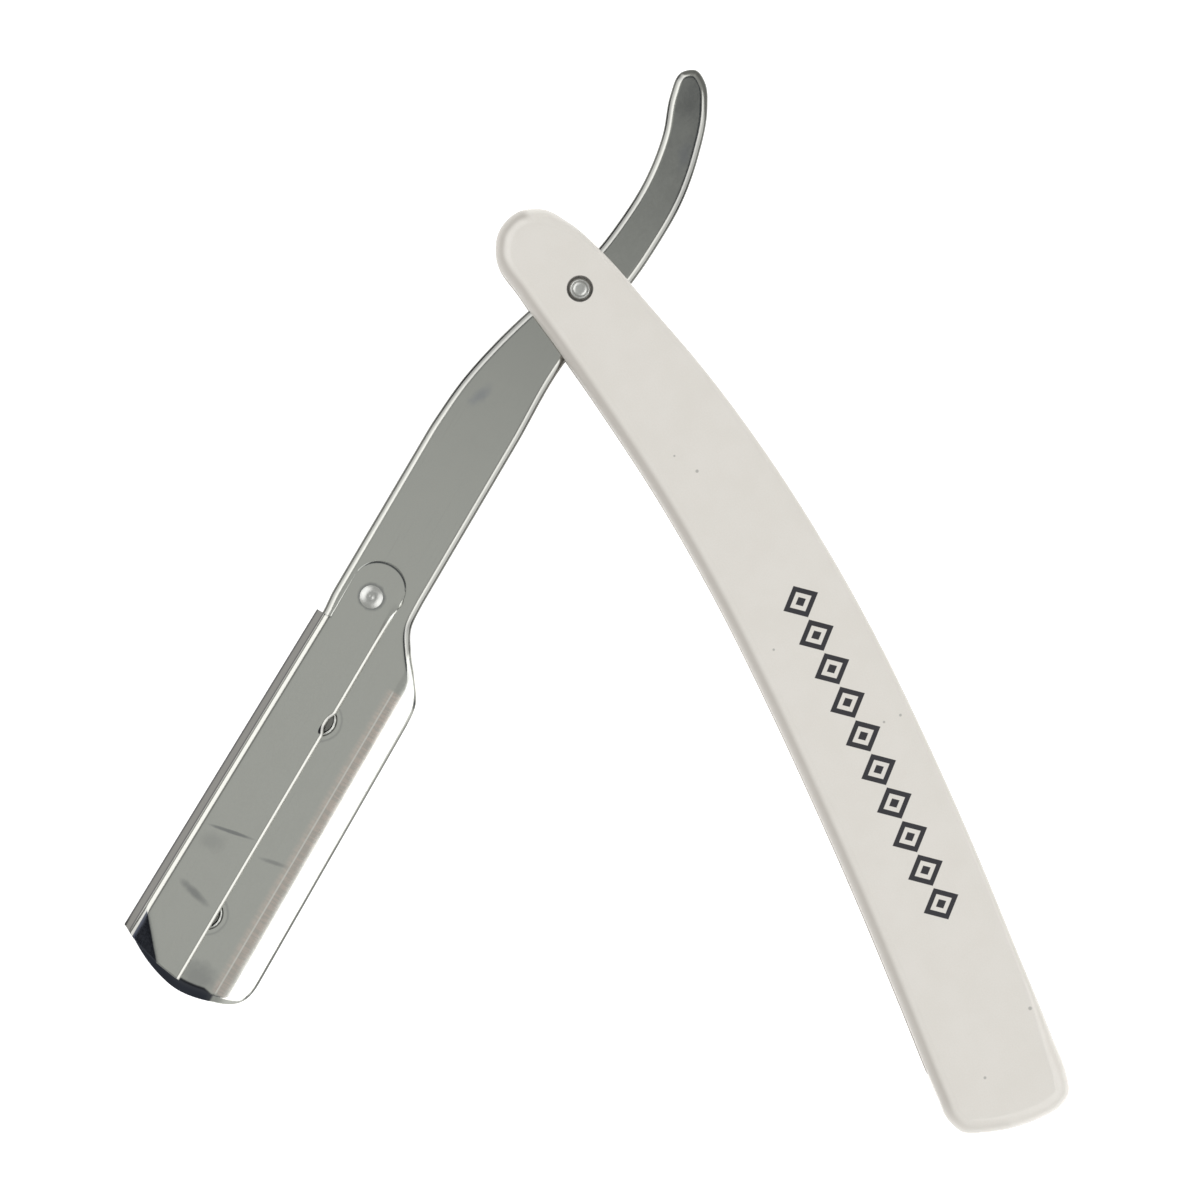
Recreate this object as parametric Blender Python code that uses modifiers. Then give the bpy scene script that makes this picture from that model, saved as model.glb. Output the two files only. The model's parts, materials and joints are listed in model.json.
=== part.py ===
"""Folding barber razor for half-blades: a slotted handle, a pressed blade arm and a swing clamp.

Sizes are in millimetres and are turned into metres where a mesh is made.  The razor lies flat on
the rear face of its handle.  The handle runs along +X from the pivot; its convex side faces +Y.
The arm's own frame has +X towards its blade end and +Y towards its cutting side.
"""
import math

import bmesh
import bpy
import numpy as np

MM = 0.001
TAU = 2.0 * math.pi

# Pose as laid down: the arm's angle from the handle, seen from above.
ARM_ANGLE = -58.5

# Sheets, walls and clearances.
ARM_SHEET = 0.8
CLAMP_SHEET = 0.5
WALL = 2.4
FIT_GAP = 0.3
BLADE_SPACE = 0.5
SLOT_CLEARANCE = 0.8
PIN_GAP = 0.1

# Blade arm.
SHANK_LENGTH = 50.0
BED_LENGTH = 51.1
TAIL_LENGTH = 31.2
TRAY_DEPTH = 1.8
EDGE_BEND = 0.7
SHANK_SPINE = -7.6
SHANK_FRONT = 2.95
BED_SPINE_START = -7.35
BED_SPINE_END = -8.2
GUARD_BEND = 5.35
GUARD_EDGE_START = 8.95
GUARD_EDGE_END = 9.4
GUARD_DROP = 1.0

# Swing clamp and its rivet.
CLAMP_RIVET_LEAD = 3.7
CLAMP_RIVET_Y = -3.0
CLAMP_EDGE = 0.6
CLAMP_BACK_EDGE = -0.9
CLAMP_END_SETBACK = 1.3
CLAMP_TOP_LEAD = 1.4
CLAMP_TOP_Y = -2.8
CLAMP_TOP_RADIUS = 3.4
WRAP_LAG = 1.1
CLAMP_FOLD = 0.35
CLAMP_RIVET_RADIUS = 0.8
CLAMP_RIVET_HEAD = 1.45
CLAMP_RIVET_HEAD_HEIGHT = 0.4
SPACER_BUSH_RADIUS = 2.2

# Blade studs, and the front leaf's notch at the upper one.
STUD_PITCH = 28.1
STUD_LAG = 12.8
STUD_Y = -0.7
STUD_RADIUS = 2.0
STUD_BORE = 1.55
STUD_FLANGE = 2.6
STUD_FLANGE_THICKNESS = 0.35
STUD_STAND = 0.3
NOTCH_RADIUS = 2.7
NOTCH_DEPTH = 0.45

# Pivot.
PIVOT_PIN_RADIUS = 0.8
PIVOT_HEAD_LIP = 0.15
PIVOT_HEAD_HEIGHT = 0.3
COLLAR_LIP = 0.45
COLLAR_THICKNESS = 0.4
COLLAR_RIM = 0.16
COLLAR_SEAT_CLEARANCE = 0.25
WASHER_RADIUS = 3.4

# Handle.
SLOT_END_GAP = 5.9
END_BLOCK = 11.3
SIDE_ROUND = 2.0
BACK_ROUND = 0.6
# Centre line and width of the handle at shares of its reach.
HANDLE_LINE = (
    (0.05, 0.40, 12.60),
    (0.135, 2.10, 13.70),
    (0.237, 3.55, 14.50),
    (0.355, 4.35, 15.25),
    (0.473, 4.33, 15.85),
    (0.592, 3.70, 16.10),
    (0.710, 2.72, 16.15),
    (0.828, 1.37, 16.10),
    (0.930, 0.17, 16.15),
)
# Round pivot end, from the convex side to the concave side.
PIVOT_END = (
    (-3.0, 4.55),
    (-8.0, 2.7),
    (-11.0, 0.65),
    (-12.2, -2.3),
    (-11.2, -5.5),
    (-8.2, -7.5),
    (-3.0, -7.1),
)
# Far end, as distances short of the reach, from the concave side to the convex side.
FAR_END = (
    (5.2, -8.1),
    (3.1, -7.3),
    (1.6, -4.6),
    (0.4, -0.8),
    (0.0, 2.4),
    (0.15, 5.0),
    (1.1, 6.8),
    (3.4, 7.65),
)

# Levels across the thickness, from the rear face of the handle.
SLOT_FLOOR = WALL
BACK_LEAF_LOW = SLOT_FLOOR + SLOT_CLEARANCE
BACK_LEAF_TOP = BACK_LEAF_LOW + CLAMP_SHEET
TRAY_LOW = BACK_LEAF_TOP + FIT_GAP
PANEL_TOP = TRAY_LOW + TRAY_DEPTH
PANEL_LOW = PANEL_TOP - ARM_SHEET
LEAF_LOW = PANEL_TOP + BLADE_SPACE
LEAF_TOP = LEAF_LOW + CLAMP_SHEET
SLOT_ROOF = LEAF_TOP + SLOT_CLEARANCE
HANDLE_THICKNESS = SLOT_ROOF + WALL

ARM_REACH = SHANK_LENGTH + BED_LENGTH
SLOT_END = ARM_REACH + SLOT_END_GAP
HANDLE_REACH = SLOT_END + END_BLOCK
WRAP_WALL_IN = FIT_GAP
CLAMP_RIVET_X = SHANK_LENGTH - CLAMP_RIVET_LEAD
CLAMP_TOP_X = CLAMP_RIVET_X - CLAMP_TOP_LEAD
WRAP_START = SHANK_LENGTH + WRAP_LAG
PIVOT_HEAD_RADIUS = PIVOT_PIN_RADIUS + PIVOT_HEAD_LIP
COLLAR_RADIUS = PIVOT_HEAD_RADIUS + COLLAR_LIP
COLLAR_SEAT = PIVOT_HEAD_HEIGHT + COLLAR_THICKNESS + 3.0 * PIN_GAP
STUD_X = (SHANK_LENGTH + STUD_LAG, SHANK_LENGTH + STUD_LAG + STUD_PITCH)


# ---------------------------------------------------------------- outlines

def smooth_run(before, run, after, steps=4):
    """Points on a smooth curve through run, which leaves along before and arrives along after."""
    knots = np.array([before, *run, after], dtype=float)
    chords = np.diff(knots, axis=0)
    lengths = np.linalg.norm(chords, axis=1)[:, None]
    slopes = chords / lengths
    blend = lengths[1:] / (lengths[1:] + lengths[:-1])
    tangents = slopes[:-1] * blend + slopes[1:] * (1.0 - blend)
    share = np.linspace(0.0, 1.0, steps, endpoint=False)[:, None]
    points = []
    for i in range(len(run) - 1):
        start, end = knots[i + 1], knots[i + 2]
        out = tangents[i] * lengths[i + 1]
        back = tangents[i + 1] * lengths[i + 1]
        points.append(
            (2 * share**3 - 3 * share**2 + 1) * start
            + (share**3 - 2 * share**2 + share) * out
            + (3 * share**2 - 2 * share**3) * end
            + (share**3 - share**2) * back
        )
    points.append(knots[-2][None, :])
    return np.concatenate(points)


def outline(runs, steps=4):
    """Closed outline: each run is smooth through its points, and straight lines join the runs."""
    parts = []
    for i, run in enumerate(runs):
        before = runs[i - 1][-1]
        after = runs[(i + 1) % len(runs)][0]
        parts.append(smooth_run(before, run, after, steps))
    return np.concatenate(parts)


def closed_smooth(points, steps=4):
    """Closed outline that is smooth through every point."""
    ring = list(points)
    return smooth_run(ring[-1], [*ring, ring[0]], ring[1], steps)[:-1]


def inset(ring, distance):
    """The counter-clockwise ring moved inwards by a distance, or by one distance for each point."""
    ahead = np.roll(ring, -1, axis=0) - ring
    ahead /= np.linalg.norm(ahead, axis=1)[:, None]
    behind = np.roll(ahead, 1, axis=0)
    normal_a = np.stack([-ahead[:, 1], ahead[:, 0]], axis=1)
    normal_b = np.stack([-behind[:, 1], behind[:, 0]], axis=1)
    mean = normal_a + normal_b
    scale = 2.0 / np.sum(mean**2, axis=1)
    return ring + mean * (scale * distance)[:, None]


def circle(x, y, radius, count):
    turn = np.arange(count) * TAU / count
    return np.stack([x + radius * np.cos(turn), y + radius * np.sin(turn)], axis=1)


def along(start, end, x):
    """Height at x on the line through two points."""
    return start[1] + (end[1] - start[1]) * (x - start[0]) / (end[0] - start[0])


# ---------------------------------------------------------------- Blender helpers

def clear_scene():
    for obj in list(bpy.data.objects):
        bpy.data.objects.remove(obj, do_unlink=True)


def new_collection(name):
    collection = bpy.data.collections.new(name)
    bpy.context.scene.collection.children.link(collection)
    return collection


def new_material(name, colour, roughness, metallic):
    material = bpy.data.materials.new(name)
    material.use_nodes = True
    shader = material.node_tree.nodes["Principled BSDF"]
    shader.inputs["Base Color"].default_value = (*colour, 1.0)
    shader.inputs["Roughness"].default_value = roughness
    shader.inputs["Metallic"].default_value = metallic
    return material


def new_empty(name, x, y, angle, parent, collection):
    empty = bpy.data.objects.new(name, None)
    empty.empty_display_size = 10 * MM
    empty.location = (x * MM, y * MM, 0.0)
    empty.rotation_euler = (0.0, 0.0, math.radians(angle))
    empty.parent = parent
    collection.objects.link(empty)
    return empty


def add_object(name, mesh, place):
    """A mesh object under an empty; place is (parent, collection)."""
    parent, collection = place
    obj = bpy.data.objects.new(name, mesh)
    obj.parent = parent
    collection.objects.link(obj)
    return obj


def plate(name, ring, low, high, place):
    """A flat outline with square edges, from one level to another."""
    curve = bpy.data.curves.new(name + "_outline", "CURVE")
    curve.dimensions = "2D"
    curve.fill_mode = "BOTH"
    curve.extrude = (high - low) / 2.0 * MM
    spline = curve.splines.new("POLY")
    spline.points.add(len(ring) - 1)
    for point, (x, y) in zip(spline.points, ring):
        point.co = (x * MM, y * MM, 0.0, 1.0)
    spline.use_cyclic_u = True
    source = bpy.data.objects.new(name + "_outline", curve)
    bpy.context.scene.collection.objects.link(source)
    bpy.context.view_layer.update()
    graph = bpy.context.evaluated_depsgraph_get()
    mesh = bpy.data.meshes.new_from_object(source.evaluated_get(graph))
    bpy.data.objects.remove(source, do_unlink=True)
    mesh.name = name
    shape = bmesh.new()
    shape.from_mesh(mesh)
    bmesh.ops.remove_doubles(shape, verts=shape.verts, dist=1e-7)
    bmesh.ops.recalc_face_normals(shape, faces=shape.faces)
    bmesh.ops.dissolve_limit(shape, angle_limit=2e-3, verts=shape.verts, edges=shape.edges)
    bmesh.ops.translate(shape, verts=shape.verts, vec=(0.0, 0.0, (low + high) / 2.0 * MM))
    shape.to_mesh(mesh)
    shape.free()
    return add_object(name, mesh, place)


def slab(name, ring, low, high, low_round, high_round, segments, place):
    """A slab with rounded edges below and above; a rounding may change along the outline."""
    turn = np.linspace(0.0, math.pi / 2.0, segments + 1)
    layers = []
    for side, level, rounding, angles in ((1.0, low, low_round, turn), (-1.0, high, high_round, turn[::-1])):
        rounding = np.broadcast_to(rounding, len(ring))
        if not rounding.any():
            angles = angles[:1]
        for angle in angles:
            pulled = inset(ring, rounding * (1.0 - np.sin(angle)))
            layers.append(np.column_stack([pulled, level + side * rounding * (1.0 - np.cos(angle))]))
    count = len(ring)
    index = np.arange(len(layers) * count).reshape(len(layers), count)
    ahead = np.roll(index, -1, axis=1)
    sides = np.stack([index[:-1], ahead[:-1], ahead[1:], index[1:]], axis=-1).reshape(-1, 4)
    faces = [*sides.tolist(), index[0][::-1].tolist(), index[-1].tolist()]
    mesh = bpy.data.meshes.new(name)
    mesh.from_pydata((np.concatenate(layers) * MM).tolist(), [], faces)
    return add_object(name, mesh, place)


def turned(name, profile, place, x=0.0, y=0.0, closed=False, steps=24):
    """A turned piece from a profile of (radius, level) that runs down its outer side."""
    mesh = bpy.data.meshes.new(name)
    points = [(radius * MM, 0.0, level * MM) for radius, level in profile]
    edges = [(i, i + 1) for i in range(len(points) - 1)]
    if closed:
        edges.append((len(points) - 1, 0))
    mesh.from_pydata(points, edges, [])
    obj = add_object(name, mesh, place)
    obj.location = (x * MM, y * MM, 0.0)
    screw = obj.modifiers.new("turn", "SCREW")
    screw.steps = steps
    screw.render_steps = steps
    screw.use_merge_vertices = True
    screw.merge_threshold = 1e-6
    return obj


def ring_profile(inner, outer, low, high):
    return [(outer, high), (outer, low), (inner, low), (inner, high)]


def soften(obj, width, segments, wanted):
    """Rounds the edges that the wanted function picks from their two end points, in millimetres."""
    mesh = obj.data
    weights = mesh.attributes.new("bevel_weight_edge", "FLOAT", "EDGE")
    for edge in mesh.edges:
        ends = [np.array(mesh.vertices[i].co) / MM for i in edge.vertices]
        weights.data[edge.index].value = 1.0 if wanted(*ends) else 0.0
    bevel = obj.modifiers.new("rounded edge", "BEVEL")
    bevel.limit_method = "WEIGHT"
    bevel.width = width * MM
    bevel.segments = segments


def cut(obj, *cutters):
    for cutter in cutters:
        cutter.hide_render = True
        cutter.display_type = "WIRE"
        boolean = obj.modifiers.new("cut " + cutter.name, "BOOLEAN")
        boolean.operation = "DIFFERENCE"
        boolean.solver = "EXACT"
        boolean.object = cutter


def bore(name, x, y, radius, place, low=-1.0, high=HANDLE_THICKNESS + 1.0, count=24):
    return plate(name, circle(x, y, radius, count), low, high, place)


# ---------------------------------------------------------------- handle

def handle_outline():
    stations = [(share * HANDLE_REACH, centre, width) for share, centre, width in HANDLE_LINE]
    convex = [(x, centre + width / 2.0) for x, centre, width in reversed(stations)]
    concave = [(x, centre - width / 2.0) for x, centre, width in stations]
    far_end = [(HANDLE_REACH - short, y) for short, y in FAR_END]
    return closed_smooth([*convex, *PIVOT_END, *concave, *far_end])


def handle_rounding(ring):
    """Edge radius: wide on the concave side and both ends, small along the convex side."""
    x, y = ring[:, 0], ring[:, 1]
    on_back = 1.0 / (1.0 + np.exp(-(y - 3.0) * 1.2))
    before_end = 1.0 / (1.0 + np.exp((x - HANDLE_REACH + 10.0) * 0.35))
    small = on_back * before_end
    return SIDE_ROUND + (BACK_ROUND - SIDE_ROUND) * small


def make_handle(place, cutters):
    ring = handle_outline()
    rounding = handle_rounding(ring)
    handle = slab("handle", ring, 0.0, HANDLE_THICKNESS, rounding, rounding, 3, place)
    past = 30.0
    opening = np.array([(SLOT_END, -past), (SLOT_END, past), (-past, past), (-past, -past)])
    slot = plate("slot_cutter", opening, SLOT_FLOOR, SLOT_ROOF, cutters)
    seat_radius = COLLAR_RADIUS + COLLAR_SEAT_CLEARANCE
    cut(
        handle,
        slot,
        bore("pin_bore_cutter", 0.0, 0.0, PIVOT_PIN_RADIUS + FIT_GAP, cutters),
        bore("front_seat_cutter", 0.0, 0.0, seat_radius, cutters, low=HANDLE_THICKNESS - COLLAR_SEAT),
        bore("rear_seat_cutter", 0.0, 0.0, seat_radius, cutters, high=COLLAR_SEAT),
    )
    return handle


# ---------------------------------------------------------------- pivot

def make_pivot_pin(place):
    """Pin through both walls and the arm; a low domed head on each end stays just inside the wall."""
    head_top = HANDLE_THICKNESS - PIN_GAP
    head_low = head_top - PIVOT_HEAD_HEIGHT
    upper = [
        (0.0, head_top),
        (0.6 * PIVOT_HEAD_RADIUS, head_top - 0.08),
        (PIVOT_HEAD_RADIUS, head_low + 0.12),
        (PIVOT_HEAD_RADIUS, head_low),
        (PIVOT_PIN_RADIUS, head_low),
    ]
    lower = [(radius, HANDLE_THICKNESS - level) for radius, level in reversed(upper)]
    return turned("pivot_pin", [*upper, *lower], place)


def make_collar(name, low, high, domed_up, place):
    """Small domed collar round one end of the pin, in its seat in the wall."""
    inner = PIVOT_PIN_RADIUS + PIN_GAP
    rim = COLLAR_RIM if domed_up else COLLAR_THICKNESS - COLLAR_RIM
    crown = PIVOT_HEAD_RADIUS
    high_radius, low_radius = (crown, COLLAR_RADIUS) if domed_up else (COLLAR_RADIUS, crown)
    outer = [(high_radius, high), (COLLAR_RADIUS, low + rim), (low_radius, low)]
    profile = [(inner, high), *outer, (inner, low)]
    return turned(name, profile, place, closed=True)


def make_pivot(place):
    collar_low = HANDLE_THICKNESS - COLLAR_SEAT + PIN_GAP
    bore_radius = PIVOT_PIN_RADIUS + FIT_GAP
    return [
        make_pivot_pin(place),
        make_collar("pivot_collar_front", collar_low, collar_low + COLLAR_THICKNESS, True, place),
        make_collar(
            "pivot_collar_rear",
            HANDLE_THICKNESS - collar_low - COLLAR_THICKNESS,
            HANDLE_THICKNESS - collar_low,
            False,
            place,
        ),
        turned(
            "spacer_washer_front",
            ring_profile(bore_radius, WASHER_RADIUS, PANEL_TOP + FIT_GAP, SLOT_ROOF - FIT_GAP),
            place,
            closed=True,
            steps=32,
        ),
        turned(
            "spacer_washer_rear",
            ring_profile(bore_radius, WASHER_RADIUS, SLOT_FLOOR + FIT_GAP, TRAY_LOW - FIT_GAP),
            place,
            closed=True,
            steps=32,
        ),
    ]


# ---------------------------------------------------------------- blade arm

def bed_spine(x):
    """The bed's spine edge, which runs straight and slightly outwards to the blade end."""
    return along((SHANK_LENGTH, BED_SPINE_START), (ARM_REACH, BED_SPINE_END), x)


def arm_outline():
    """Outline of the arm, worked from the shoulder round the blade end to the tail, then turned round
    so that it runs counter-clockwise as every outline here does."""
    shoulder, end, tail = SHANK_LENGTH, ARM_REACH, TAIL_LENGTH
    shoulder_run = [
        (shoulder - 6.0, SHANK_FRONT),
        (shoulder - 2.6, SHANK_FRONT + 0.35),
        (shoulder, SHANK_FRONT + 1.95),
        (shoulder + 2.8, 7.15),
        (shoulder + 5.2, 8.65),
        (shoulder + 8.0, GUARD_EDGE_START),
    ]
    guard_corner = [(end - 5.0, GUARD_EDGE_END), (end - 2.9, 8.9), (end - 1.7, 7.7), (end - 0.85, GUARD_BEND)]
    end_arc = [
        (end - 0.2, 3.0),
        (end, 0.6),
        (end - 0.4, -1.6),
        (end - 1.25, -4.1),
        (end - 2.5, -6.5),
        (end - 3.0, -7.3),
        (end - 3.6, -7.85),
        (end - 4.6, bed_spine(end - 4.6)),
    ]
    step_run = [(shoulder + 0.6, bed_spine(shoulder + 0.6)), (shoulder - 1.6, SHANK_SPINE)]
    spine_run = [(24.0, SHANK_SPINE), (17.0, -7.05), (11.0, -5.85), (5.0, -4.15), (0.0, -2.4), (-5.0, -0.85)]
    tail_run = [
        (-10.0, -0.2),
        (-16.0, -0.05),
        (4.3 - 0.85 * tail, -1.05),
        (4.2 - tail, -2.75),
        (1.3 - tail, -3.05),
        (-tail, -1.5),
        (0.9 - tail, 0.45),
        (3.2 - tail, 2.05),
        (9.2 - tail, 4.25),
        (-16.0, 5.4),
        (-10.0, 5.5),
        (-4.0, 5.1),
        (3.0, 3.65),
        (10.0, SHANK_FRONT - 0.15),
        (20.0, SHANK_FRONT),
    ]
    return outline([shoulder_run, [*guard_corner, *end_arc], step_run, [*spine_run, *tail_run]])[::-1]


def below_guard(name, lift, place):
    """Prism over the sloping guard strip: everything above the slope that starts at the guard bend."""
    run = GUARD_EDGE_START - GUARD_BEND
    far = 4.0 * run
    level = PANEL_TOP + lift
    above = level + 5.0
    side = [
        (GUARD_BEND, level),
        (GUARD_BEND + far, level - GUARD_DROP / run * far),
        (GUARD_BEND + far, above),
        (GUARD_BEND, above),
    ]
    prism = plate(name, np.array(side), SHANK_LENGTH - 10.0, ARM_REACH + 10.0, place)
    prism.rotation_euler = (math.pi / 2.0, 0.0, math.pi / 2.0)
    return prism


def make_blade_arm(place, cutters):
    ring = arm_outline()
    arm = slab("blade_arm", ring, TRAY_LOW, PANEL_TOP, 0.0, EDGE_BEND, 3, place)
    pocket = plate("pocket_cutter", inset(ring, ARM_SHEET), TRAY_LOW - 1.0, PANEL_LOW, cutters)
    guard_skin = below_guard("guard_skin_cutter", -ARM_SHEET, cutters)
    cut(pocket, guard_skin)
    cut(
        arm,
        below_guard("guard_slope_cutter", 0.0, cutters),
        pocket,
        bore("arm_bore_cutter", 0.0, 0.0, PIVOT_PIN_RADIUS + FIT_GAP, cutters),
        bore("rivet_bore_cutter", CLAMP_RIVET_X, CLAMP_RIVET_Y, CLAMP_RIVET_RADIUS + PIN_GAP, cutters),
    )
    for name, x in zip(("upper", "lower"), STUD_X):
        cut(arm, bore(name + "_stud_bore_cutter", x, STUD_Y, STUD_RADIUS + PIN_GAP, cutters))
    return arm


def make_stud(name, x, place):
    """Tubular stud through the bed: a tube that stands proud of the bed, and a flange behind it."""
    flange_top = PANEL_LOW - PIN_GAP
    low = flange_top - STUD_FLANGE_THICKNESS
    top = PANEL_TOP + STUD_STAND
    profile = [
        (STUD_BORE + 0.1, top),
        (STUD_RADIUS - 0.15, top),
        (STUD_RADIUS, top - 0.15),
        (STUD_RADIUS, flange_top),
        (STUD_FLANGE, flange_top),
        (STUD_FLANGE, low),
        (STUD_BORE, low),
        (STUD_BORE, top - 0.1),
    ]
    return turned(name, profile, place, x=x, y=STUD_Y, closed=True)


# ---------------------------------------------------------------- swing clamp

def clamp_outline():
    """Outline of the folded clamp in the arm's frame: the round top end, the spine fold, the leaf."""
    end = ARM_REACH - CLAMP_END_SETBACK
    outer = WRAP_WALL_IN + CLAMP_SHEET
    turn = np.radians(np.arange(75.0, 270.1, 15.0))
    across, down = np.cos(turn), np.sin(turn)
    top_centre = np.array((CLAMP_TOP_X, CLAMP_TOP_Y))
    top_end = top_centre + CLAMP_TOP_RADIUS * np.stack([across, down], axis=1)
    ramp_start = [(WRAP_START - 3.7, SHANK_SPINE + 0.1)]
    ramp_end = [(WRAP_START, bed_spine(WRAP_START) - outer)]
    spine_corner = [(end - 2.75, bed_spine(end - 2.75) - outer)]
    end_arc = [(end - 2.2, -7.6), (end - 1.05, -5.0), (end - 0.35, -2.2), (end, 0.0)]
    edge_corner = [(end - 0.1, CLAMP_EDGE)]
    return outline([top_end, ramp_start, ramp_end, spine_corner, end_arc, edge_corner])


def to_clamp(ring):
    """From the arm's frame to the frame of the clamp's rivet."""
    return np.asarray(ring, dtype=float) - (CLAMP_RIVET_X, CLAMP_RIVET_Y)


def make_swing_clamp(place, cutters):
    """Two leaves and a spine fold: a folded block with the space for the bed cut out of it."""
    clamp = plate("swing_clamp", to_clamp(clamp_outline()), BACK_LEAF_LOW, LEAF_TOP, place)
    rivet = np.array((CLAMP_RIVET_X, CLAMP_RIVET_Y))

    def on_fold(start, end):
        flat = abs(start[2] - end[2]) < 1e-3
        middle = (start + end)[:2] / 2.0 + rivet
        fold = bed_spine(middle[0]) - WRAP_WALL_IN - CLAMP_SHEET
        return flat and middle[0] > WRAP_START and abs(middle[1] - fold) < 0.2

    soften(clamp, CLAMP_FOLD, 3, on_fold)
    far = ARM_REACH + 10.0
    space = [
        (WRAP_START, -20.0),
        (WRAP_START, bed_spine(WRAP_START) - WRAP_WALL_IN),
        (far, bed_spine(far) - WRAP_WALL_IN),
        (far, 20.0),
        (CLAMP_TOP_X - 20.0, 20.0),
        (CLAMP_TOP_X - 20.0, -20.0),
    ]
    back_trim = [(30.0, CLAMP_BACK_EDGE), (far, CLAMP_BACK_EDGE), (far, 20.0), (30.0, 20.0)]
    front_step = [
        (CLAMP_TOP_X, CLAMP_TOP_Y - CLAMP_TOP_RADIUS),
        (CLAMP_TOP_X, -20.0),
        (WRAP_START, -20.0),
        (WRAP_START, bed_spine(WRAP_START)),
        (WRAP_START - 1.2, SHANK_SPINE + 1.1),
    ]
    cut(
        clamp,
        plate("bed_space_cutter", to_clamp(space), BACK_LEAF_TOP, LEAF_LOW, cutters),
        plate("back_leaf_trim_cutter", to_clamp(back_trim), BACK_LEAF_LOW - 1.0, LEAF_LOW - FIT_GAP, cutters),
        plate("front_step_cutter", to_clamp(front_step), LEAF_LOW - FIT_GAP, LEAF_TOP + 1.0, cutters),
        bore("clamp_bore_cutter", 0.0, 0.0, CLAMP_RIVET_RADIUS + PIN_GAP, cutters),
    )
    notch = to_clamp(circle(STUD_X[0], CLAMP_EDGE - NOTCH_DEPTH + NOTCH_RADIUS, NOTCH_RADIUS, 32))
    cut(clamp, plate("notch_cutter", notch, LEAF_LOW - FIT_GAP, LEAF_TOP + 1.0, cutters))
    return clamp


def make_clamp_rivet(place):
    """Rivet of the clamp: a domed head with a dimple in front, a flat peened head behind."""
    head_low = LEAF_TOP + PIN_GAP
    head_top = head_low + CLAMP_RIVET_HEAD_HEIGHT
    tail_top = BACK_LEAF_LOW - PIN_GAP
    tail_low = tail_top - CLAMP_RIVET_HEAD_HEIGHT
    profile = [
        (0.0, head_top - 0.12),
        (0.3, head_top - 0.1),
        (0.55, head_top),
        (0.9, head_top - 0.05),
        (CLAMP_RIVET_HEAD, head_low + 0.12),
        (CLAMP_RIVET_HEAD, head_low),
        (CLAMP_RIVET_RADIUS, head_low),
        (CLAMP_RIVET_RADIUS, tail_top),
        (CLAMP_RIVET_HEAD, tail_top),
        (CLAMP_RIVET_HEAD, tail_low + 0.1),
        (CLAMP_RIVET_HEAD - 0.3, tail_low),
        (0.0, tail_low),
    ]
    return turned("clamp_rivet", profile, place, x=CLAMP_RIVET_X, y=CLAMP_RIVET_Y)


def make_spacer_bush(place):
    """Bush that keeps the clamp's back leaf off the back of the bed."""
    inner = CLAMP_RIVET_RADIUS + PIN_GAP
    profile = ring_profile(inner, SPACER_BUSH_RADIUS, BACK_LEAF_TOP + PIN_GAP, PANEL_LOW - PIN_GAP)
    return turned("clamp_spacer_bush", profile, place, x=CLAMP_RIVET_X, y=CLAMP_RIVET_Y, closed=True)


# ---------------------------------------------------------------- assembly

def centre_on_origin(root, pieces):
    """Moves the root so that the middle of the pieces' box stands over the origin."""
    bpy.context.view_layer.update()
    graph = bpy.context.evaluated_depsgraph_get()
    clouds = []
    for piece in pieces:
        evaluated = piece.evaluated_get(graph)
        mesh = evaluated.to_mesh()
        points = np.empty(len(mesh.vertices) * 3)
        mesh.vertices.foreach_get("co", points)
        matrix = np.array(piece.matrix_world)
        clouds.append(points.reshape(-1, 3) @ matrix[:3, :3].T + matrix[:3, 3])
        evaluated.to_mesh_clear()
    cloud = np.concatenate(clouds)
    middle = (cloud.min(axis=0) + cloud.max(axis=0)) / 2.0
    root.location.x -= middle[0]
    root.location.y -= middle[1]
    bpy.context.view_layer.update()


def finish_piece(piece, material):
    piece.data.materials.clear()
    piece.data.materials.append(material)
    for polygon in piece.data.polygons:
        polygon.material_index = 0


def main():
    clear_scene()
    parts = new_collection("barber_razor")
    cutter_collection = new_collection("cutters")
    root = new_empty("razor", 0.0, 0.0, 0.0, None, parts)
    arm_pivot = new_empty("arm_pivot", 0.0, 0.0, ARM_ANGLE, root, parts)
    clamp_pivot = new_empty("clamp_pivot", CLAMP_RIVET_X, CLAMP_RIVET_Y, 0.0, arm_pivot, parts)

    on_handle = (root, parts)
    on_arm = (arm_pivot, parts)
    on_clamp = (clamp_pivot, parts)

    plastic = [make_handle(on_handle, (root, cutter_collection))]
    sheet_steel = [
        make_blade_arm(on_arm, (arm_pivot, cutter_collection)),
        make_swing_clamp(on_clamp, (clamp_pivot, cutter_collection)),
        make_stud("blade_stud_upper", STUD_X[0], on_arm),
        make_stud("blade_stud_lower", STUD_X[1], on_arm),
    ]
    pin_steel = [*make_pivot(on_handle), make_clamp_rivet(on_arm), make_spacer_bush(on_arm)]

    for pieces, material in (
        (plastic, new_material("white_plastic", (0.78, 0.76, 0.72), 0.32, 0.0)),
        (sheet_steel, new_material("sheet_steel", (0.56, 0.57, 0.54), 0.18, 1.0)),
        (pin_steel, new_material("pin_steel", (0.6, 0.6, 0.58), 0.18, 1.0)),
    ):
        for piece in pieces:
            finish_piece(piece, material)
    centre_on_origin(root, [*plastic, *sheet_steel, *pin_steel])


main()
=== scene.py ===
import json
import math

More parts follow.
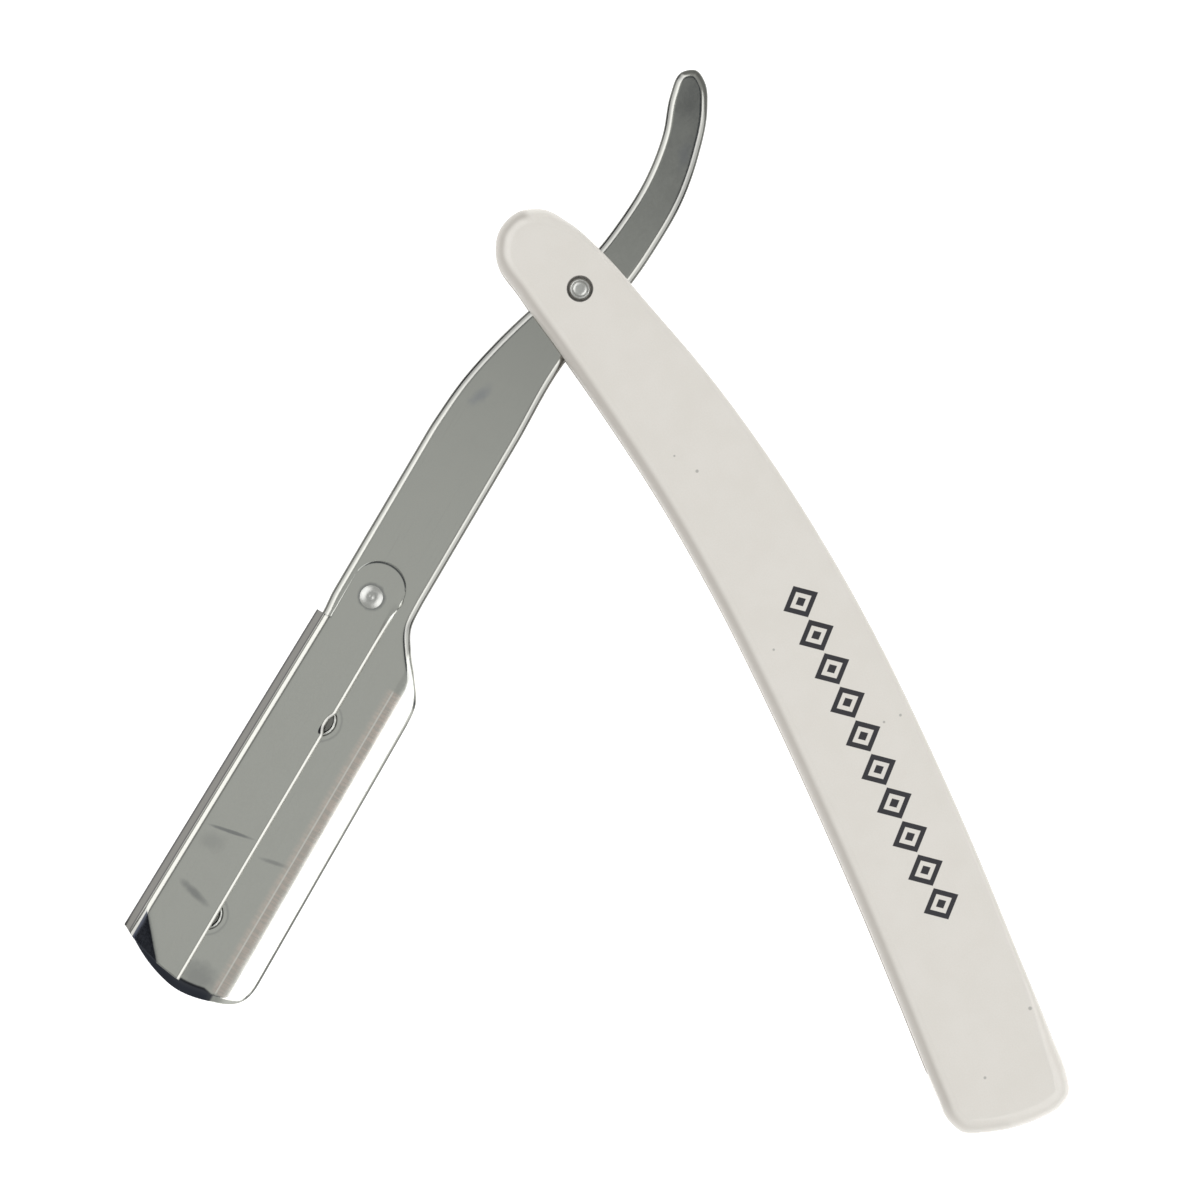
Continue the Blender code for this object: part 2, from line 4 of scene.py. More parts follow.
import bmesh
import bpy
import numpy as np
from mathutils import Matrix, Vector


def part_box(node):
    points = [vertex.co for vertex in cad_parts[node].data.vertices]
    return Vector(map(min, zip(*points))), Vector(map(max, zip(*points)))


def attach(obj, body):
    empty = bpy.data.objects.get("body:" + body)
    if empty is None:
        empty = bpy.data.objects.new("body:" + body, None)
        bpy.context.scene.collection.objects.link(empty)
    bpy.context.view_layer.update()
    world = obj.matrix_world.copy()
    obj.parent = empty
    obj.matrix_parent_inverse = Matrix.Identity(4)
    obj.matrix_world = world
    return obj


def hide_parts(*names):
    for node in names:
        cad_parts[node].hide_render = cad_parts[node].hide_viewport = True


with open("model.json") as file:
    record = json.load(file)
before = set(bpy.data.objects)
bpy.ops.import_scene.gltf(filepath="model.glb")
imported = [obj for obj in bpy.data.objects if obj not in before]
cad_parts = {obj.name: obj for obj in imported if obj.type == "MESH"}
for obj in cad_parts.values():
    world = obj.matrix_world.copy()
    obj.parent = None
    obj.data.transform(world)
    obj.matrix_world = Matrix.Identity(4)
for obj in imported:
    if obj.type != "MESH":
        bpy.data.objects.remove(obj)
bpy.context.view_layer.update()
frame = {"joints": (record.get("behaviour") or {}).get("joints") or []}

MM = 0.001
TAU = 2.0 * math.pi


def node_span(node, axis):
    """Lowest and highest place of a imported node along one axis, in millimetres."""
    low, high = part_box(node)
    return low[axis] / MM, high[axis] / MM


# ---------------------------------------------------------------- sizes

JOINT_AT = {joint["name"]: np.array(joint["pos_m"]) / MM for joint in frame["joints"]}
PIVOT = JOINT_AT["arm_pivot"][:2]
CLAMP_RIVET = np.array((46.3, -3.0))
PIVOT_TO_RIVET = JOINT_AT["clamp_swing"][:2] - PIVOT
ARM_TURN = math.atan2(PIVOT_TO_RIVET[1], PIVOT_TO_RIVET[0]) - math.atan2(CLAMP_RIVET[1], CLAMP_RIVET[0])

TRAY_LOW, PANEL_TOP = node_span("blade_arm", 2)
BACK_LEAF_LOW, LEAF_TOP = node_span("swing_clamp", 2)
HANDLE_THICKNESS = node_span("handle", 2)[1]
STUD_LOW, STUD_TOP = node_span("blade_stud_upper", 2)
COLLAR_LOW, COLLAR_TOP = node_span("pivot_collar_front", 2)
PIN_TOP = node_span("pivot_pin", 2)[1]
RIVET_LOW, RIVET_TOP = node_span("clamp_rivet", 2)

ARM_SHEET = 0.8
CLAMP_SHEET = 0.5
SLOT_FLOOR = 2.4
SLOT_ROOF = HANDLE_THICKNESS - SLOT_FLOOR

SHANK_LENGTH = 50.0
ARM_REACH = 101.1
TAIL_LENGTH = 31.2
BEND_WIDTH = 0.95
BEND_DROP = 0.5
END_BEND_WIDTH = 1.7
SHANK_SPINE = -7.6
SHANK_FRONT = 2.95
BED_SPINE_START = -7.35
BED_SPINE_END = -8.2
GUARD_BEND = 5.35
GUARD_EDGE_START = 8.95
GUARD_EDGE_END = 9.4
GUARD_DROP = 1.0

CLAMP_TOP = np.array((44.9, -2.8))
CLAMP_TOP_RADIUS = 3.4
CLAMP_EDGE = 0.6
CLAMP_BACK_EDGE = -0.9
CLAMP_END = ARM_REACH - 1.3
WRAP_START = 51.1
WRAP_OUT = 0.8
# Upper half of the spine fold: how far in from the outermost line, and how far below the leaf.
FOLD_LINE = (
    (1.95, 0.0), (1.75, 0.02), (1.5, 0.08), (1.3, 0.17), (1.12, 0.31), (0.95, 0.52),
    (0.55, 1.06), (0.3, 1.4), (0.12, 1.62), (0.03, 1.74), (0.0, 1.8),
)
LEAF_ROLL = 0.5
LEAF_ROLL_DROP = 0.25
CORNER_CREASE = ((94.3, -7.2), (99.1, -3.06))
CORNER_SLOPE = 0.16
NOTCH_RADIUS = 2.7
NOTCH_DEPTH = 0.45
STUD_X = (62.8, 90.9)
STUD_Y = -0.7
STUD_RADIUS = 2.0
STUD_BORE = 1.55
STUD_FLANGE = 2.6
STUD_FLANGE_THICKNESS = 0.35

PIN_RADIUS = 0.8
PIN_HEAD_RADIUS = 0.95
PIN_HEAD_HEIGHT = 0.3
COLLAR_RADIUS = 1.4
COLLAR_SEAT = 1.0
SEAT_CLEARANCE = 0.25
BORE_GAP = 0.3
PIN_GAP = 0.1
WASHER_RADIUS = 3.4
RIVET_HEAD = 1.45
RIVET_RADIUS = 0.8
RIVET_HEAD_HEIGHT = 0.4
BUSH_RADIUS = 2.2

SLOT_END = 107.0
HANDLE_REACH = 118.3
SIDE_ROUND = 2.0
BACK_ROUND = 0.6
HANDLE_LINE = (
    (0.05, 0.40, 12.60), (0.135, 2.10, 13.70), (0.237, 3.55, 14.50), (0.355, 4.35, 15.25),
    (0.473, 4.33, 15.85), (0.592, 3.70, 16.10), (0.710, 2.72, 16.15), (0.828, 1.37, 16.10),
    (0.930, 0.17, 16.15),
)
PIVOT_END = (
    (-3.0, 4.55), (-8.0, 2.7), (-11.0, 0.65), (-12.2, -2.3), (-11.2, -5.5), (-8.2, -7.5),
    (-3.0, -7.1),
)
FAR_END = (
    (5.2, -8.1), (3.1, -7.3), (1.6, -4.6), (0.4, -0.8), (0.0, 2.4), (0.15, 5.0), (1.1, 6.8),
    (3.4, 7.65),
)


# ---------------------------------------------------------------- outlines

def smooth_run(before, run, after, steps=24):
    """Cubic pieces through run.  The direction at each knot is the mean of the two chords that meet
    there, each weighted by the other one's length, so short chords turn the curve more."""
    knots = np.array([before, *run, after], dtype=float)
    chords = np.diff(knots, axis=0)
    lengths = np.linalg.norm(chords, axis=1)[:, None]
    slopes = chords / lengths
    blend = lengths[1:] / (lengths[1:] + lengths[:-1])
    tangents = slopes[:-1] * blend + slopes[1:] * (1.0 - blend)
    share = np.linspace(0.0, 1.0, steps, endpoint=False)[None, :, None]
    reach = lengths[1:-1, None]
    curve = (
        (2.0 * share**3 - 3.0 * share**2 + 1.0) * knots[1:-2, None]
        + (share**3 - 2.0 * share**2 + share) * tangents[:-1, None] * reach
        + (3.0 * share**2 - 2.0 * share**3) * knots[2:-1, None]
        + (share**3 - share**2) * tangents[1:, None] * reach
    )
    return np.concatenate([curve.reshape(-1, 2), knots[-2:-1]])


def outline(runs):
    """Closed outline: each run is smooth through its points, and straight lines join the runs."""
    count = len(runs)
    return np.concatenate([
        smooth_run(runs[i - 1][-1], runs[i], runs[(i + 1) % count][0]) for i in range(count)
    ])


def spread(chain, count):
    """count + 1 points at equal distances along a chain of points."""
    steps = np.linalg.norm(np.diff(chain, axis=0), axis=1)
    travel = np.concatenate([[0.0], np.cumsum(steps)])
    wanted = np.linspace(0.0, travel[-1], count + 1)
    return np.stack([np.interp(wanted, travel, chain[:, axis]) for axis in range(chain.shape[1])], axis=1)


def between(ring, start, end):
    """The part of a closed ring from the point nearest start, onwards to the point nearest end."""
    first = np.argmin(np.linalg.norm(ring - start, axis=1))
    last = np.argmin(np.linalg.norm(ring - end, axis=1))
    if last <= first:
        last += len(ring)
    return ring[np.arange(first, last + 1) % len(ring)]


def inset(ring, distance):
    """The counter-clockwise ring moved inwards along the mean of its two edge normals."""
    ahead = np.roll(ring, -1, axis=0) - ring
    ahead /= np.linalg.norm(ahead, axis=1)[:, None]
    behind = np.roll(ahead, 1, axis=0)
    mean = np.stack([-ahead[:, 1] - behind[:, 1], ahead[:, 0] + behind[:, 0]], axis=1)
    scale = 2.0 / np.sum(mean**2, axis=1)
    return ring + mean * (scale * distance)[:, None]


def eased(ring, passes):
    """The ring with each point drawn towards the middle of its neighbours, a few times over."""
    for _ in range(passes):
        ring = 0.5 * ring + 0.25 * (np.roll(ring, 1, axis=0) + np.roll(ring, -1, axis=0))
    return ring


def circle(centre, radius, count=48):
    """Points at equal angles round a circle, counter-clockwise from its +X side."""
    turn = np.arange(count) * TAU / count
    return np.asarray(centre) + radius * np.stack([np.cos(turn), np.sin(turn)], axis=1)


def smooth_step(value, low, high):
    """0 up to low and 1 from high on; between, three shares squared minus two shares cubed."""
    share = np.clip((value - low) / (high - low), 0.0, 1.0)
    return share * share * (3.0 - 2.0 * share)


def rolled_drop(share):
    """Height lost over a rolled edge, as a share of the whole: one minus the root 1/n of one minus
    share to the power n, which tilts soon, leans evenly and ends upright."""
    power = 1.6
    return 1.0 - (1.0 - np.clip(share, 0.0, 1.0) ** power) ** (1.0 / power)


# ---------------------------------------------------------------- grids and meshes

def at_level(ring, level):
    """A flat ring of points set at one level, or each point at its own."""
    return np.column_stack([ring, np.broadcast_to(level, len(ring))])


def quads(numbers, around=False):
    """Faces between neighbouring rows and columns of a grid of point numbers."""
    if around:
        numbers = np.concatenate([numbers, numbers[:, :1]], axis=1)
    corners = (numbers[:-1, :-1], numbers[:-1, 1:], numbers[1:, 1:], numbers[1:, :-1])
    return np.stack(corners, axis=-1).reshape(-1, 4)


def stretched(low, right, high, left):
    """Coons patch between four chains: low and high run along it, left and right run across it."""
    along = np.linspace(0.0, 1.0, len(low))[:, None, None]
    across = np.linspace(0.0, 1.0, len(left))[None, :, None]
    ruled = (1.0 - across) * low[:, None] + across * high[:, None]
    ruled = ruled + (1.0 - along) * left[None] + along * right[None]
    corners = (1.0 - along) * ((1.0 - across) * low[0] + across * high[0])
    corners = corners + along * ((1.0 - across) * low[-1] + across * high[-1])
    return ruled - corners


def panel_inside(ring, along, across):
    """Coons patch inside a ring whose corners are its points 0, along, along + across, and
    2 * along + across; gives the patch as a grid of points."""
    low = ring[: along + 1]
    right = ring[along : along + across + 1]
    high = ring[along + across : 2 * along + across + 1][::-1]
    left = np.concatenate([ring[2 * along + across :], ring[:1]])[::-1]
    return stretched(low, right, high, left)


def add_grid(points, faces, grid, turned_over=False):
    """Adds a grid of points and its faces to a mesh's lists; gives the points' numbers."""
    count = sum(len(block) for block in points)
    numbers = count + np.arange(grid[..., 0].size).reshape(grid.shape[:2])
    points.append(grid.reshape(-1, 3))
    grid_faces = quads(numbers)
    faces.append(grid_faces[:, ::-1] if turned_over else grid_faces)
    return numbers


def in_handle(points):
    """From the handle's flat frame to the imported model's."""
    placed = np.array(points, dtype=float)
    placed[:, :2] += PIVOT
    return placed


def in_arm(points):
    """From the arm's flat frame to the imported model's."""
    placed = np.array(points, dtype=float)
    cos, sin = math.cos(ARM_TURN), math.sin(ARM_TURN)
    placed[:, :2] = placed[:, :2] @ np.array([[cos, sin], [-sin, cos]]) + PIVOT
    return placed


def new_object(name, points, faces, closed=True):
    """A mesh object from points in millimetres; doubled points are merged, so seams and poles close.
    A closed one is turned outwards; an open sheet keeps the side that its faces were given."""
    mesh = bpy.data.meshes.new(name)
    mesh.from_pydata((points * MM).tolist(), [], faces)
    shape = bmesh.new()
    shape.from_mesh(mesh)
    bmesh.ops.remove_doubles(shape, verts=shape.verts, dist=2e-6)
    if closed:
        bmesh.ops.recalc_face_normals(shape, faces=shape.faces)
    shape.to_mesh(mesh)
    shape.free()
    obj = bpy.data.objects.new(name, mesh)
    bpy.context.scene.collection.objects.link(obj)
    return obj


def drilled(obj, holes):
    """Cuts round holes through a finished piece; each hole is (placed centre, radius, low, high)."""
    for number, (centre, radius, low, high) in enumerate(holes):
        ring = circle(centre, radius)
        points = np.concatenate([at_level(ring, low), at_level(ring, high)])
        numbers = np.arange(len(points)).reshape(2, -1)
        faces = [*quads(numbers, around=True).tolist(), numbers[0][::-1].tolist(), numbers[1].tolist()]
        drill = new_object(f"{obj.name}_drill_{number}", points, faces)
        drill.hide_render = True
        hole = obj.modifiers.new(f"hole {number}", "BOOLEAN")
        hole.operation = "DIFFERENCE"
        hole.solver = "EXACT"
        hole.object = drill


def bake_modifiers(obj):
    """Replaces the mesh by the result of its modifiers, and removes the tools that they used."""
    bpy.context.view_layer.update()
    tools = [modifier.object for modifier in obj.modifiers if modifier.type == "BOOLEAN"]
    graph = bpy.context.evaluated_depsgraph_get()
    done = bpy.data.meshes.new_from_object(obj.evaluated_get(graph))
    obj.modifiers.clear()
    done.name = obj.name
    obj.data = done
    for tool in tools:
        bpy.data.objects.remove(tool, do_unlink=True)


def finish(obj, body, node, material, sharp=32.0):
    """Smooth faces with crisp edges, a material, and the piece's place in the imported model."""
    mesh = obj.data
    mesh.materials.clear()
    mesh.materials.append(material)
    mesh.polygons.foreach_set("material_index", np.zeros(len(mesh.polygons), dtype=np.int32))
    mesh.polygons.foreach_set("use_smooth", np.ones(len(mesh.polygons), dtype=bool))
    mesh.set_sharp_from_angle(angle=math.radians(sharp))
    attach(obj, body)
    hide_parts(node)
    return obj


def bevel(obj, width, segments, angle=50.0):
    """Rounds each edge that turns by more than an angle in degrees."""
    modifier = obj.modifiers.new("eased edges", "BEVEL")
    modifier.width = width * MM
    modifier.segments = segments
    modifier.limit_method = "ANGLE"
    modifier.angle_limit = math.radians(angle)


# ---------------------------------------------------------------- handle

SLOT_STATIONS = 220
BLOCK_STATIONS = 18
ACROSS = 44
EDGE_STEPS = 12
CRISP_START = math.radians(16.0)


def handle_ring():
    """The handle's outline as a ring of evenly spread points.  Its first point is the corner at the
    concave side of the pivot end; both long sides have a point exactly at the slot's end."""
    stations = [(share * HANDLE_REACH, centre, width) for share, centre, width in HANDLE_LINE]
    convex = [(x, centre + width / 2.0) for x, centre, width in reversed(stations)]
    concave = [(x, centre - width / 2.0) for x, centre, width in stations]
    far_end = [(HANDLE_REACH - short, y) for short, y in FAR_END]
    knots = [*convex, *PIVOT_END, *concave, *far_end]
    ring = smooth_run(knots[-1], [*knots, knots[0]], knots[1], steps=40)[:-1]
    near_low, near_high = PIVOT_END[5], PIVOT_END[1]
    far_low, far_high = far_end[1], far_end[6]
    low = between(ring, near_low, far_low)
    high = between(ring, far_high, near_high)
    low_end = np.array((SLOT_END, np.interp(SLOT_END, low[:, 0], low[:, 1])))
    high_end = np.array((SLOT_END, np.interp(SLOT_END, high[::-1, 0], high[::-1, 1])))
    pieces = (
        (np.concatenate([low[low[:, 0] < SLOT_END], [low_end]]), SLOT_STATIONS),
        (np.concatenate([[low_end], low[low[:, 0] > SLOT_END]]), BLOCK_STATIONS),
        (between(ring, far_low, far_high), ACROSS),
        (np.concatenate([high[high[:, 0] > SLOT_END], [high_end]]), BLOCK_STATIONS),
        (np.concatenate([[high_end], high[high[:, 0] < SLOT_END]]), SLOT_STATIONS),
        (between(ring, near_high, near_low), ACROSS),
    )
    return np.concatenate([spread(chain, count)[:-1] for chain, count in pieces])


def handle_rounding(ring):
    """Width of the rounded edge: wide on the concave side and at both ends, small on the convex side."""
    on_back = 1.0 / (1.0 + np.exp(-(ring[:, 1] - 3.0) * 1.2))
    before_end = 1.0 / (1.0 + np.exp((ring[:, 0] - HANDLE_REACH + 10.0) * 0.35))
    return SIDE_ROUND + (BACK_ROUND - SIDE_ROUND) * on_back * before_end


def make_handle(material):
    """Two slotted walls and an end block.  The edge profile is carried round the outline: its tilt
    goes from a crisp start on the flat face to upright at the side.  Flat faces are Coons patches."""
    ring = handle_ring()
    rounding = handle_rounding(ring)
    tilt = np.linspace(CRISP_START, math.pi / 2.0, EDGE_STEPS + 1)
    across_share = 1.0 - (np.sin(tilt) - np.sin(CRISP_START)) / (1.0 - np.sin(CRISP_START))
    down_share = 1.0 - np.cos(tilt) / np.cos(CRISP_START)
    rows = [
        at_level(inset(ring, rounding * across), rounding * down)
        for across, down in zip(across_share, down_share)
    ]
    rows += [at_level(ring, SLOT_FLOOR), at_level(ring, SLOT_ROOF)]
    rows += [row * (1.0, 1.0, -1.0) + (0.0, 0.0, HANDLE_THICKNESS) for row in rows[EDGE_STEPS::-1]]
    count = len(ring)
    points = [np.concatenate(rows)]
    numbers = np.arange(len(points[0])).reshape(len(rows), count)
    floor_row, roof_row = EDGE_STEPS + 1, EDGE_STEPS + 2

    # The side between the slot's two faces is open from the pivot end to the slot's end.
    total = SLOT_STATIONS + BLOCK_STATIONS
    column = np.arange(count)
    solid = (column >= SLOT_STATIONS) & (column < count - SLOT_STATIONS - ACROSS)
    side_faces = quads(numbers, around=True).reshape(len(rows) - 1, count, 4)
    faces = [side_faces[:floor_row].reshape(-1, 4), side_faces[floor_row][solid]]
    faces.append(side_faces[roof_row:].reshape(-1, 4))

    def flat(row, stations, facing_up):
        """A flat face between the outline's points of one row, as far as a number of stations."""
        grid = panel_inside(rows[row], total, ACROSS)[: stations + 1]
        return add_grid(points, faces, grid, facing_up)

    flat(0, total, False)
    flat(len(rows) - 1, total, True)
    floor = flat(floor_row, SLOT_STATIONS, True)
    roof = flat(roof_row, SLOT_STATIONS, False)
    faces.append(quads(np.stack([floor[-1], roof[-1]])))
    handle = new_object("moulded_handle", in_handle(np.concatenate(points)), np.concatenate(faces).tolist())
    bevel(handle, 0.18, 2, angle=62.0)
    seat_radius = COLLAR_RADIUS + SEAT_CLEARANCE
    drilled(handle, [
        (PIVOT, PIN_RADIUS + BORE_GAP, -1.0, HANDLE_THICKNESS + 1.0),
        (PIVOT, seat_radius, HANDLE_THICKNESS - COLLAR_SEAT, HANDLE_THICKNESS + 1.0),
        (PIVOT, seat_radius, -1.0, COLLAR_SEAT),
    ])
    bake_modifiers(handle)
    return finish(handle, "handle", "handle", material)


# ---------------------------------------------------------------- blade arm

ARM_STATIONS = 300
ARM_ACROSS = 30
BEND_STEPS = 14


def bed_spine(x):
    """The bed's spine edge, straight and slightly outwards towards the blade end."""
    share = (x - SHANK_LENGTH) / (ARM_REACH - SHANK_LENGTH)
    return BED_SPINE_START + (BED_SPINE_END - BED_SPINE_START) * share


def arm_ring():
    """Outline of the arm from the tail's tip along the spine, round the blade end and back."""
    shoulder, end, tail = SHANK_LENGTH, ARM_REACH, TAIL_LENGTH
    shoulder_run = [
        (shoulder - 6.0, SHANK_FRONT), (shoulder - 2.6, SHANK_FRONT + 0.35),
        (shoulder, SHANK_FRONT + 1.95), (shoulder + 2.8, 7.15), (shoulder + 5.2, 8.65),
        (shoulder + 8.0, GUARD_EDGE_START),
    ]
    guard_corner = [
        (end - 5.0, GUARD_EDGE_END), (end - 2.9, 8.9), (end - 1.7, 7.7), (end - 0.85, GUARD_BEND),
    ]
    end_arc = [
        (end - 0.2, 3.0), (end, 0.6), (end - 0.4, -1.6), (end - 1.25, -4.1), (end - 2.5, -6.5),
        (end - 3.0, -7.3), (end - 3.6, -7.85),
        (end - 4.6, bed_spine(end - 4.6)),
    ]
    step_run = [(shoulder + 0.6, bed_spine(shoulder + 0.6)), (shoulder - 1.6, SHANK_SPINE)]
    spine_run = [
        (24.0, SHANK_SPINE), (17.0, -7.05), (11.0, -5.85), (5.0, -4.15), (0.0, -2.4), (-5.0, -0.85),
    ]
    tail_run = [
        (-10.0, -0.2), (-16.0, -0.05), (4.3 - 0.85 * tail, -1.05), (4.2 - tail, -2.75),
        (1.3 - tail, -3.05), (-tail, -1.5), (0.9 - tail, 0.45), (3.2 - tail, 2.05),
        (9.2 - tail, 4.25), (-16.0, 5.4), (-10.0, 5.5), (-4.0, 5.1), (3.0, 3.65),
        (10.0, SHANK_FRONT - 0.15), (20.0, SHANK_FRONT),
    ]
    runs = [shoulder_run, [*guard_corner, *end_arc], step_run, [*spine_run, *tail_run]]
    ring = outline(runs)[::-1]
    corners = (tail_run[4], end_arc[5], guard_corner[2], tail_run[6])
    counts = (ARM_STATIONS, ARM_ACROSS, ARM_STATIONS, ARM_ACROSS)
    chains = [between(ring, corners[i], corners[(i + 1) % 4]) for i in range(4)]
    spread_ring = np.concatenate([spread(chain, count)[:-1] for chain, count in zip(chains, counts)])
    return eased(spread_ring, 2)


def guard_share(x, y):
    """How far a point is across the guard strip: 0 at its bend, 1 at its edge."""
    along = (x - SHANK_LENGTH) / (ARM_REACH - SHANK_LENGTH)
    edge = GUARD_EDGE_START + (GUARD_EDGE_END - GUARD_EDGE_START) * along
    share = np.clip((y - GUARD_BEND) / (edge - GUARD_BEND), 0.0, 1.0)
    return np.where(x > SHANK_LENGTH - 1.0, share, 0.0)


def pressed(points):
    """Presses the guard strip down: the drop is a slanting part and a part that grows with the
    square of the share across the strip.  The flange under it is shortened in proportion."""
    share = guard_share(points[:, 0], points[:, 1])
    drop = GUARD_DROP * (0.35 * share + 0.65 * share**2)
    height = PANEL_TOP - TRAY_LOW
    pressed_points = points.copy()
    pressed_points[:, 2] = TRAY_LOW + (points[:, 2] - TRAY_LOW) * (height - drop) / height
    return pressed_points


def make_blade_arm(material):
    """A pressed tray: the section of its edge is carried round the outline, from the panel's back,
    down the inside of the flange, round its lower edge, up the outside and over the bend."""
    ring = arm_ring()
    at_end = smooth_step(ring[:, 0], ARM_REACH - 5.0, ARM_REACH - 1.6)
    at_end = at_end * smooth_step(-ring[:, 1], -5.5, -4.0)
    width = BEND_WIDTH + (END_BEND_WIDTH - BEND_WIDTH) * at_end
    panel_low = PANEL_TOP - ARM_SHEET
    section = [
        (ARM_SHEET, panel_low), (ARM_SHEET, TRAY_LOW + 0.1), (ARM_SHEET - 0.1, TRAY_LOW),
        (0.1, TRAY_LOW), (0.0, TRAY_LOW + 0.1),
    ]
    rows = [at_level(inset(ring, distance), level) for distance, level in section]
    for share in np.sin(np.linspace(math.pi / 2.0, 0.0, BEND_STEPS + 1)):
        level = PANEL_TOP - BEND_DROP * rolled_drop(share)
        rows.append(at_level(inset(ring, width * (1.0 - share)), level))
    points = [np.concatenate(rows)]
    numbers = np.arange(len(points[0])).reshape(len(rows), -1)
    faces = [quads(numbers, around=True)]
    for row, facing_up in ((0, False), (len(rows) - 1, True)):
        add_grid(points, faces, panel_inside(rows[row], ARM_STATIONS, ARM_ACROSS), facing_up)
    points = pressed(np.concatenate(points))
    arm = new_object("pressed_blade_arm", in_arm(points), np.concatenate(faces).tolist())
    low, high = TRAY_LOW - 1.0, PANEL_TOP + 1.0
    studs = [(x, STUD_Y, 0.0) for x in STUD_X]
    centres = in_arm([(0.0, 0.0, 0.0), (*CLAMP_RIVET, 0.0), *studs])[:, :2]
    radii = (PIN_RADIUS + BORE_GAP, RIVET_RADIUS + PIN_GAP, STUD_RADIUS + PIN_GAP, STUD_RADIUS + PIN_GAP)
    drilled(arm, [(centre, radius, low, high) for centre, radius in zip(centres, radii)])
    bake_modifiers(arm)
    return finish(arm, "arm", "blade_arm", material)


# ---------------------------------------------------------------- swing clamp

WRAP_STATIONS = 260
ROLL_STEPS = 8
FOLD_STEPS = 3
LEAF_ACROSS = 26
TONGUE_STATIONS = 24
# Places across the leaf, and how far short of the clamp's end the leaf stops there.
LEAF_END_RUN = ((0.6, 0.0), (0.0, 0.0), (-2.2, -0.35), (-5.0, -1.05), (-7.6, -2.2), (-9.2, -2.75))


def leaf_edge(x):
    """The front leaf's long edge, with a shallow round notch at the upper stud."""
    reach = np.sqrt(np.clip(NOTCH_RADIUS**2 - (x - STUD_X[0]) ** 2, 0.0, None))
    return CLAMP_EDGE - np.clip(reach - NOTCH_RADIUS + NOTCH_DEPTH, 0.0, None)


def leaf_end(y):
    """Where the leaves end: a slanting curve from the long edge to the fold."""
    run = np.array(LEAF_END_RUN)[::-1]
    return CLAMP_END + np.interp(y, run[:, 0], run[:, 1])


def crease():
    """The crease across the leaf's corner: its start and its direction."""
    start, end = np.array(CORNER_CREASE)
    return start, (end - start) / np.linalg.norm(end - start)


def corner_drop(x, y):
    """How far the leaf's corner at the spine end leans down beyond the crease."""
    start, line = crease()
    beyond = (x - start[0]) * line[1] - (y - start[1]) * line[0]
    return CORNER_SLOPE * (beyond + np.sqrt(beyond**2 + 0.04)) / 2.0


def clamp_section(x):
    """Outer line of the folded sheet at stations x: over the rolled edge, across the front leaf, down
    the spine fold, back under it and across the back leaf.  Gives y and z for each station."""
    wall = (bed_spine(x) - WRAP_OUT)[:, None]
    fold = smooth_run((2.4, 0.0), FOLD_LINE, (0.03, 1.86), steps=FOLD_STEPS)
    start = leaf_edge(x)[:, None]
    roll = np.linspace(1.0, 0.0, ROLL_STEPS + 1)[None, :]
    roll_y = start - LEAF_ROLL * (1.0 - roll)
    roll_z = LEAF_TOP - LEAF_ROLL_DROP * rolled_drop(roll) + 0.0 * start
    share = np.linspace(0.0, 1.0, LEAF_ACROSS - ROLL_STEPS + 1)[None, 1:]
    front_y = roll_y[:, -1:] + (wall + fold[0, 0] - roll_y[:, -1:]) * share
    front_z = np.full_like(front_y, LEAF_TOP)
    fold_y = wall + fold[None, 1:, 0]
    fold_z = LEAF_TOP - fold[None, 1:, 1] + 0.0 * wall
    under_y = fold_y[:, -2::-1]
    under_z = BACK_LEAF_LOW + LEAF_TOP - fold_z[:, -2::-1]
    back_share = np.linspace(0.0, 1.0, LEAF_ACROSS + 1)[None, :]
    back_start = wall + fold[0, 0]
    back_y = back_start + (CLAMP_BACK_EDGE - back_start) * back_share
    back_z = np.full_like(back_y, BACK_LEAF_LOW)
    y = np.concatenate([roll_y, front_y, fold_y, under_y, back_y], axis=1)
    z = np.concatenate([roll_z, front_z, fold_z, under_z, back_z], axis=1)
    return y, z


def tongue(edge, level, rise, top_angle, spine_line):
    """The flat end of a leaf: a Coons patch between the leaf's first station, edge, and a round end
    about the rivet.  Its height goes from the flat leaf's level to the edge's own over a part, rise,
    of its length."""
    angles = np.linspace(math.radians(270.0), top_angle, len(edge))
    left = CLAMP_TOP + CLAMP_TOP_RADIUS * np.stack([np.cos(angles), np.sin(angles)], axis=1)
    low = spread(np.array([left[0], *spine_line, edge[0, :2]]), TONGUE_STATIONS)
    high = spread(np.stack([left[-1], edge[-1, :2]]), TONGUE_STATIONS)
    flat = stretched(low, edge[:, :2], high, left)
    fade = smooth_step(np.linspace(0.0, 1.0, TONGUE_STATIONS + 1), *rise)[:, None]
    height = level + (edge[:, 2] - level)[None, :] * fade
    return np.concatenate([flat, height[..., None]], axis=-1)


